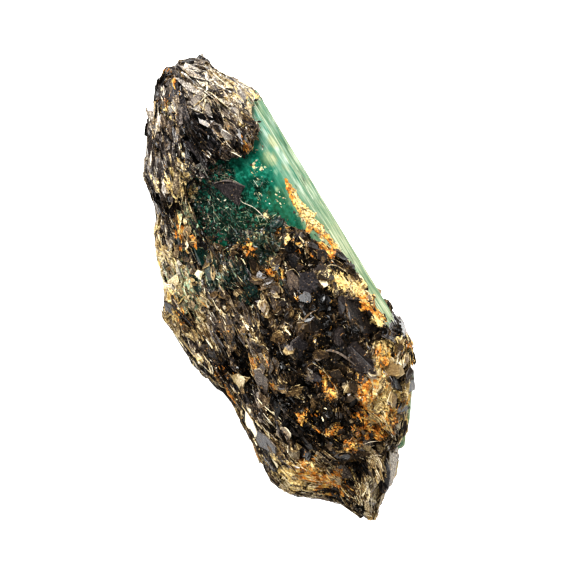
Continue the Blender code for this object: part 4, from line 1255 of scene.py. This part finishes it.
def smoothed(path, steps=8):
    """A curve through the points of a path."""
    path = np.array([path[0], *path, path[-1]], float)
    found = []
    for k in range(1, len(path) - 2):
        for t in np.linspace(0, 1, steps, endpoint=False):
            a, b, c, d = path[k - 1 : k + 3]
            bend, turn = 2 * a - 5 * b + 4 * c - d, 3 * b - a - 3 * c + d
            found.append(0.5 * (2 * b + (c - a) * t + bend * t * t + turn * t**3))
    return np.array([*found, path[-2]])


def edge_on_mica(surface, name, finish, table):
    """Single sheets of mica seen on edge, as thin curved strips with broken edges."""
    rng = np.random.default_rng(SEED + 9)
    shapes, triangles, tones, cools = [], [], [], []
    start = 0
    for path, width, tone, cool, lift in table:
        line = smoothed(path)
        along = unit(np.gradient(line, axis=0))
        beside = np.stack([along[:, 1], -along[:, 0]], axis=1)
        uneven = np.convolve(rng.uniform(0.4, 1.2, len(line) + 4), np.ones(5) / 5, mode="valid")
        taper = np.sin(np.linspace(0.1, 0.92, len(line)) * math.pi) ** 0.5 * uneven
        height = np.array([surface.top(x, y) for x, y in line])
        height = np.convolve(np.pad(height, 6, mode="edge"), np.ones(13) / 13, mode="valid") + lift
        half = (width * taper / 2)[:, None]
        one, other = line + beside * half, line - beside * half
        ring = [
            np.c_[one, height + EDGE_THICKNESS], np.c_[other, height - 0.2 * width],
            np.c_[other, height - EDGE_THICKNESS - 0.2 * width], np.c_[one, height],
        ]
        faces = []
        for k, side in itertools.product(range(len(line) - 1), range(4)):
            a, b = 4 * k + side, 4 * k + (side + 1) % 4
            faces += [(a, b, a + 4), (b, b + 4, a + 4)]
        last = 4 * (len(line) - 1)
        faces += [(0, 2, 1), (0, 3, 2), (last, last + 1, last + 2), (last, last + 2, last + 3)]
        shapes.append(surface.draped(np.stack(ring, axis=1).reshape(-1, 3), EDGE_LOFT, PLACED_REACH))
        triangles.append(np.array(faces) + start)
        wear = np.repeat(rng.normal(0, 0.05, len(line) - 1), 8)
        tones.append(tone + np.append(wear, np.zeros(4)))
        cools.append(np.full(len(faces), cool))
        start += len(shapes[-1])
    shapes = np.concatenate(shapes)
    piece = mesh_piece(name, shapes, np.concatenate(triangles), finish)
    paint(piece, "POINT", {"lay": lay_places(shapes)})
    tones = np.concatenate(tones)
    nothing = {key: np.zeros(len(tones)) for key in ("rust", "cream", "green", "edge", "banded")}
    paint(piece, "FACE", {"tone": tones, "cool": np.concatenate(cools)} | nothing)


def make_schist(crystal):
    """The rock with its mica and its iron veins. It gives the rock's surface and the finish of its mica."""
    rock_finish, plate_finish = mica_finish("schist_ground", True), mica_finish("mica_plate", False)
    before, normals, carved, faces, lift = carve_schist(crystal)
    rock = mesh_piece("schist_rock", carved, faces, rock_finish, ["mica_schist"])
    values = stains_at(before)
    # Painted shade: the rock's tone is made darker where its surface was carved down into grooves and
    # hollows, on top of 0.10 darker all over.
    values["tone"] = values["tone"] - 0.10 - 0.25 * eased(0.0, -0.6, lift)
    paint(rock, "POINT", values | {"edge": np.zeros(len(carved)), "lay": lay_places(before)})
    ground = Surface(carved, faces, normals)
    ground.clear = eased(0.4, 0.6, crystal.gaps(ground.middle, 0.7))
    ground.under = under_chosen(ground.middle, [plate[0] for plate in CHOSEN_PLATES.values()])
    for name, (count, weight, length, ratio, thickness, corners, rest) in MICA.items():
        lay_mica(ground, name, plate_finish, count, weight, length, ratio, thickness, corners, **rest)
    stacked_plates(ground, "named_plates", plate_finish, CHOSEN_PLATES.values())
    edge_on_mica(ground, "mica_edges", plate_finish, EDGES)
    clay_smears(ground, "iron_veins", plate_finish, IRON_VEINS, 0.5)
    return ground, plate_finish


# ---------------------------------------------------------------- the crystal


def arris_stain(points):
    """Where iron stains the crystal, on the top of it only."""
    return patches(points, ARRIS_STAIN, 68, 0.35) * eased(13.5, 15.5, points[:, 2])


def crystal_colours(points, normals):
    """Where the crystal is milky, deep, clouded and stained, with a painted highlight along the top of its
    arris.
    """
    flank = eased(0.45, 0.95, normals[:, 0] + 0.12 * noise(points / (2, 6, 2), 66))
    x = points[:, 0] + 0.25 * noise(points / (0.8, 6.0, 0.8), 67)
    ragged = x + 0.6 * broken(points / (0.9, 1.6, 0.9), 60)
    front = 0.44 * eased(7.4, 9.4, ragged) + 0.34 * eased(9.4, 10.5, x)
    front = np.maximum(front, 0.6 * patches(points, MILKY, 69))
    # A painted highlight: a pale band along the top of the arris near x 10.8, added to the milkiness.
    painted_gleam = np.exp(-(((x - 10.8) / 0.5) ** 2)) * eased(10.0, 14.0, points[:, 2])
    deep = 0.32 + 0.12 * eased(9.0, 4.0, points[:, 0]) + 0.85 * patches(points, DEEPEST, 70, 0.35)
    return {
        "mint": np.clip(front * (1 - flank) + 0.52 * flank + 0.10 * painted_gleam, 0, 1),
        "deep": np.clip(deep, 0, 1),
        "stain": arris_stain(points),
        "even": np.maximum(0.75 * eased(0.4, 0.8, np.abs(normals[:, 1])), 0.55 * (1 - flank)),
        "cloud": patches(points, SPECKS, 71),
        "olive": np.maximum(
            np.maximum(0.75 * eased(16.0, 0.0, points[:, 1]), 0.8 * patches(points, OLIVE, 75)),
            0.6 * eased(0.93, 1.0, normals[:, 0] + 0.03 * noise(points / (1, 3, 1), 76)),
        ),
    }


def crystal_stains(points):
    """The colours of crumbs that sit on the crystal."""
    stain, specks = arris_stain(points), patches(points, SPECKS, 71)
    return {
        "tone": 0.21 + 0.5 * specks + 0.34 * eased(5.0, 9.0, points[:, 0]),
        "rust": 0.55 * stain * (noise(points / 0.8, 73) > 0.1),
        "cream": np.maximum(stain, 0.4 * specks),
        "green": patches(points, DEEPEST, 70) * 0.8,
        "cool": np.full(len(points), 0.5),
        "banded": np.zeros(len(points)),
    }


def make_crystal():
    """The prism with its growth lines, pits and rough ends. It gives the prism's surface."""
    points, faces = even_mesh("emerald_crystal", CRYSTAL_VOXEL)
    points = softened(points, faces, 6)
    normals = point_normals(points, faces)
    turn = np.arctan2(points[:, 0] - AXIS_X, points[:, 2] - AXIS_Z)
    round_place = np.stack([turn * AXIS_REACH, points[:, 1], np.zeros(len(points))], axis=1)
    prism_face = eased(0.35, 0.15, np.abs(normals[:, 1]))
    lines = 0.012 * noise(round_place / (0.6, 5.0, 1), 61) + 0.010 * noise(round_place / (0.4, 2.5, 1), 62)
    cell, offset, _ = slabs(round_place / (1.2, 3.5, 1.0), 63)
    pits = -0.10 * eased(0.72, 0.9, hashed(cell, 64)) * eased(0.55, 0.2, np.linalg.norm(offset, axis=1))
    chips = arris_stain(points) * (0.12 + 0.2 * broken(points / 0.5, 74))
    rough = 0.25 * broken(points / 1.6, 65) * (1 - prism_face) - chips
    carved = points + normals * np.clip(prism_face * (lines + pits) + rough, -0.4, 0.2)[:, None]
    finish = emerald_finish()
    crystal = mesh_piece("emerald_prism", carved, faces, finish, ["emerald_crystal"], smooth=True)
    paint(crystal, "POINT", crystal_colours(points, normals))
    return Surface(carved, faces, normals)


def clay_smears(surface, name, finish, tables, depth):
    """Clay that has dried on a surface: low ridges with ragged sides, rusty along one side."""
    sides = 12
    turn = 2 * math.pi * np.arange(sides) / sides
    shapes, triangles, rust = [], [], []
    start = 0
    for number, table in enumerate(tables):
        table = np.array(table)
        line = smoothed(table[:, :2], 14)
        down, rows = np.linspace(0, 1, len(line)), np.linspace(0, 1, len(table))
        wide, rusty = (np.interp(down, rows, table[:, k]) for k in (2, 3))
        along = unit(np.gradient(line, axis=0))
        beside = np.stack([-along[:, 1], along[:, 0]], axis=1)
        one, other = (
            1 + 0.6 * broken(np.c_[line / 0.5, np.full(len(line), 9.0 * number + side)], 81)[:, None]
            for side in (0, 4)
        )
        reach = np.where(np.cos(turn) > 0, one, other) * np.cos(turn) * wide[:, None] / 2
        spread = line[:, None] + beside[:, None] * reach[..., None]
        top = np.array([[surface.top(x, y) for x, y in ring] for ring in spread])
        top = np.maximum(top, top[:, sides // 4][:, None] - 0.5)
        lumps = 1 + 0.5 * broken(np.c_[line, line[:, :1]] / 0.3, 82)
        height = np.sin(turn) * depth * (0.6 + 0.4 * wide[:, None]) * lumps[:, None]
        shapes.append(np.dstack([spread, top + height]).reshape(-1, 3))
        rust.append((rusty[:, None] - 0.3 * np.cos(turn) - 0.1).ravel())
        k, side = np.meshgrid(np.arange(len(line) - 1), np.arange(sides), indexing="ij")
        a, b = sides * k + side, sides * k + (side + 1) % sides
        walls = np.concatenate([np.stack([a, b, a + sides], -1), np.stack([b, b + sides, a + sides], -1)])
        fan = np.arange(1, sides - 1)
        cap = np.stack([np.zeros_like(fan), fan + 1, fan], axis=1)
        far_cap = cap[:, ::-1] + sides * (len(line) - 1)
        triangles.append(np.concatenate([walls.reshape(-1, 3), cap, far_cap]) + start)
        start += len(shapes[-1])
    shapes, rust = np.concatenate(shapes), np.clip(np.concatenate(rust), 0, 1)
    piece = mesh_piece(name, shapes, np.concatenate(triangles), finish, smooth=True)
    mottle = broken(shapes / 0.6, 83)
    nothing = np.zeros(len(shapes))
    paint(piece, "POINT", {"lay": shapes, "edge": nothing, "banded": nothing, "cool": nothing})
    paint(piece, "POINT", {
        "tone": 0.52 + 0.12 * mottle,
        "rust": np.clip(rust + 0.25 * mottle, 0, 1),
        "cream": 0.72 - 0.2 * rust - 0.25 * mottle,
        "green": 0.4 + 0.4 * mottle,
    })


def dress_crystal(crystal, ground, finish):
    """Crumbs, needles and sheets of mica that cling to the bare crystal."""
    beyond = ground.gaps(crystal.middle, 3.0)
    bare = np.array([
        ground.tree.ray_cast(place + up * 0.05, Vector(up))[0] is None
        for place, up in zip(crystal.middle, crystal.facing)
    ])
    reach = np.where(crystal.middle[:, 0] < 3.5, 0.9, 0.3)
    clear = ~under_chosen(crystal.middle, [WINDOW_PLATE])
    on_top = bare * (crystal.facing[:, 2] > FACING_UP) * clear
    near_rim = np.where(beyond > 0, np.exp(-np.maximum(beyond, 0) / reach), 0.0) * on_top
    covered = on_top * patches(crystal.middle, COVERED, 72)
    stained_arris = on_top * arris_stain(crystal.middle)
    specks = on_top * patches(crystal.middle, SPECKS, 71)
    darkest = on_top * patches(crystal.middle, DEEPEST, 70)

    def dim(points):
        stains = stains_at(points)
        return stains | {"tone": stains["tone"] - 0.18}

    lay_mica(
        crystal, "thin_schist", finish, 1700, lambda s: covered, (0.25, 1.0), (0.3, 0.8), (0.05, 0.12), 5,
        layers=2, swing=60, roll=(-30, 30), pitch=20, bright=0.02, loft=0.5, stains=dim,
    )
    lay_mica(
        crystal, "window_crumbs", finish, 1500, lambda s: near_rim, (0.12, 0.7), (0.2, 0.8), (0.05, 0.14), 5,
        swing=60, roll=(-40, 40), pitch=30, spread=0.4, bright=0.02, stains=crystal_stains,
    )
    lay_mica(
        crystal, "arris_crust", finish, 90, lambda s: stained_arris, (0.12, 0.5), (0.5, 1.0), (0.06, 0.16), 5,
        swing=90, roll=(-50, 50), pitch=40, stains=crystal_stains,
    )
    # These specks are pale grains, and most of them take the painted glint tone, a painted highlight.
    lay_mica(
        crystal, "pale_specks", finish, 60, lambda s: specks, (0.12, 0.5), (0.3, 0.7), (0.04, 0.08), 5,
        swing=30, roll=(-30, 30), pitch=20, bright=0.8, stains=crystal_stains,
    )
    lay_mica(
        crystal, "window_needles", finish, 420, lambda s: darkest, (0.4, 1.7), (0.04, 0.09), (0.03, 0.06), 4,
        swing=60, roll=(-30, 30), pitch=5, spread=0.6, bright=0.22, stains=crystal_stains,
    )
    stacked_plates(crystal, "window_plate", finish, [(WINDOW_PLATE, 0.22, 0.9, 0.1, 0.1, 0.25, 2)])
    edge_on_mica(crystal, "window_edges", finish, CRYSTAL_EDGES)
    clay_smears(crystal, "clay_smears", finish, CLAY_SMEARS, 0.16)


# ---------------------------------------------------------------- the studio

# The camera's right, up and back. It is turned so that the specimen's cap is at the upper left.
VIEW_RIGHT, VIEW_UP = Vector((0.8545, -0.5195, 0.0)), Vector((0.5195, 0.8545, 0.0))
VIEW_BACK = Vector((0, 0, 1))
# What the camera looks at, and how wide its view is there.
AIM = Vector((2.7, -0.3, 8.0))
VIEW_WIDTH = 72.45
LENS, SENSOR = 180.0, 36.0
SOFT_BOXES = [
    # name, towards (right, up, out), distance, size, watts
    ("top_box", (-0.25, 1.0, 1.1), 0.42, 0.17, 2.6),
    ("right_box", (1.0, 0.1, 1.0), 0.42, 0.12, 0.6),
    ("left_box", (-1.0, -0.1, 0.9), 0.42, 0.14, 1.0),
    ("low_box", (-0.1, -1.0, 1.3), 0.45, 0.12, 0.3),
]
# The brightness of the air, from straight below (0) to straight above (1).
SKY = [(0.0, 1.0), (0.51, 0.9), (0.56, 0.35), (0.64, 0.08), (1.0, 0.03)]
FLOOR_HALF_WIDTH = 1.5


def make_floor():
    """A plain pale floor, just under the specimen."""
    finish = Finish(
        "studio_white", Base_Color=(0.9, 0.9, 0.89, 1.0), Roughness=0.9, Specular_IOR_Level=0.1,
        Emission_Color=(1.0, 1.0, 0.99, 1.0), Emission_Strength=0.5,
    )
    bm = bmesh.new()
    bmesh.ops.create_grid(bm, x_segments=1, y_segments=1, size=FLOOR_HALF_WIDTH)
    mesh = bpy.data.meshes.new("studio_floor")
    bm.to_mesh(mesh)
    bm.free()
    mesh.materials.append(finish.material)
    floor = bpy.data.objects.new("studio_floor", mesh)
    floor.location.z = -0.02 * MM
    bpy.context.scene.collection.objects.link(floor)


def make_camera():
    """A long lens straight above the specimen."""
    camera = bpy.data.cameras.new("camera")
    camera.lens, camera.sensor_width, camera.clip_end = LENS, SENSOR, 10.0
    eye = bpy.data.objects.new("camera", camera)
    turn = Matrix((VIEW_RIGHT, VIEW_UP, VIEW_BACK)).transposed().to_4x4()
    eye.matrix_world = Matrix.Translation((AIM + VIEW_BACK * VIEW_WIDTH * LENS / SENSOR) * MM) @ turn
    bpy.context.scene.collection.objects.link(eye)
    bpy.context.scene.camera = eye


def make_lights():
    """Four soft boxes, and air that is bright up to the horizon and dark overhead."""
    for name, (right, up, out), far, size, watts in SOFT_BOXES:
        lamp = bpy.data.lights.new(name, "AREA")
        lamp.shape, lamp.size, lamp.energy = "SQUARE", size, watts
        towards = (VIEW_RIGHT * right + VIEW_UP * up + VIEW_BACK * out).normalized()
        box = bpy.data.objects.new(name, lamp)
        box.location = AIM * MM + towards * far
        box.rotation_mode = "QUATERNION"
        box.rotation_quaternion = towards.to_track_quat("Z", "Y")
        bpy.context.scene.collection.objects.link(box)

    air = bpy.data.worlds.new("studio_air")
    air.use_nodes = True
    tree = air.node_tree
    up = tree.nodes.new("ShaderNodeSeparateXYZ")
    tree.links.new(tree.nodes.new("ShaderNodeTexCoord").outputs["Generated"], up.inputs[0])
    height = tree.nodes.new("ShaderNodeMapRange")
    height.inputs["From Min"].default_value = -1.0
    tree.links.new(up.outputs["Z"], height.inputs["Value"])
    sky = tree.nodes.new("ShaderNodeValToRGB")
    set_stops(sky.color_ramp.elements, [(place, (bright, bright, bright)) for place, bright in SKY])
    tree.links.new(height.outputs[0], sky.inputs["Fac"])
    tree.links.new(sky.outputs["Color"], tree.nodes["Background"].inputs["Color"])
    bpy.context.scene.world = air
    bpy.context.scene.view_settings.view_transform = "Standard"
    bpy.context.scene.view_settings.look = "High Contrast"


def main():
    make_floor()
    make_camera()
    make_lights()
    crystal = make_crystal()
    ground, finish = make_schist(crystal)
    dress_crystal(crystal, ground, finish)


main()
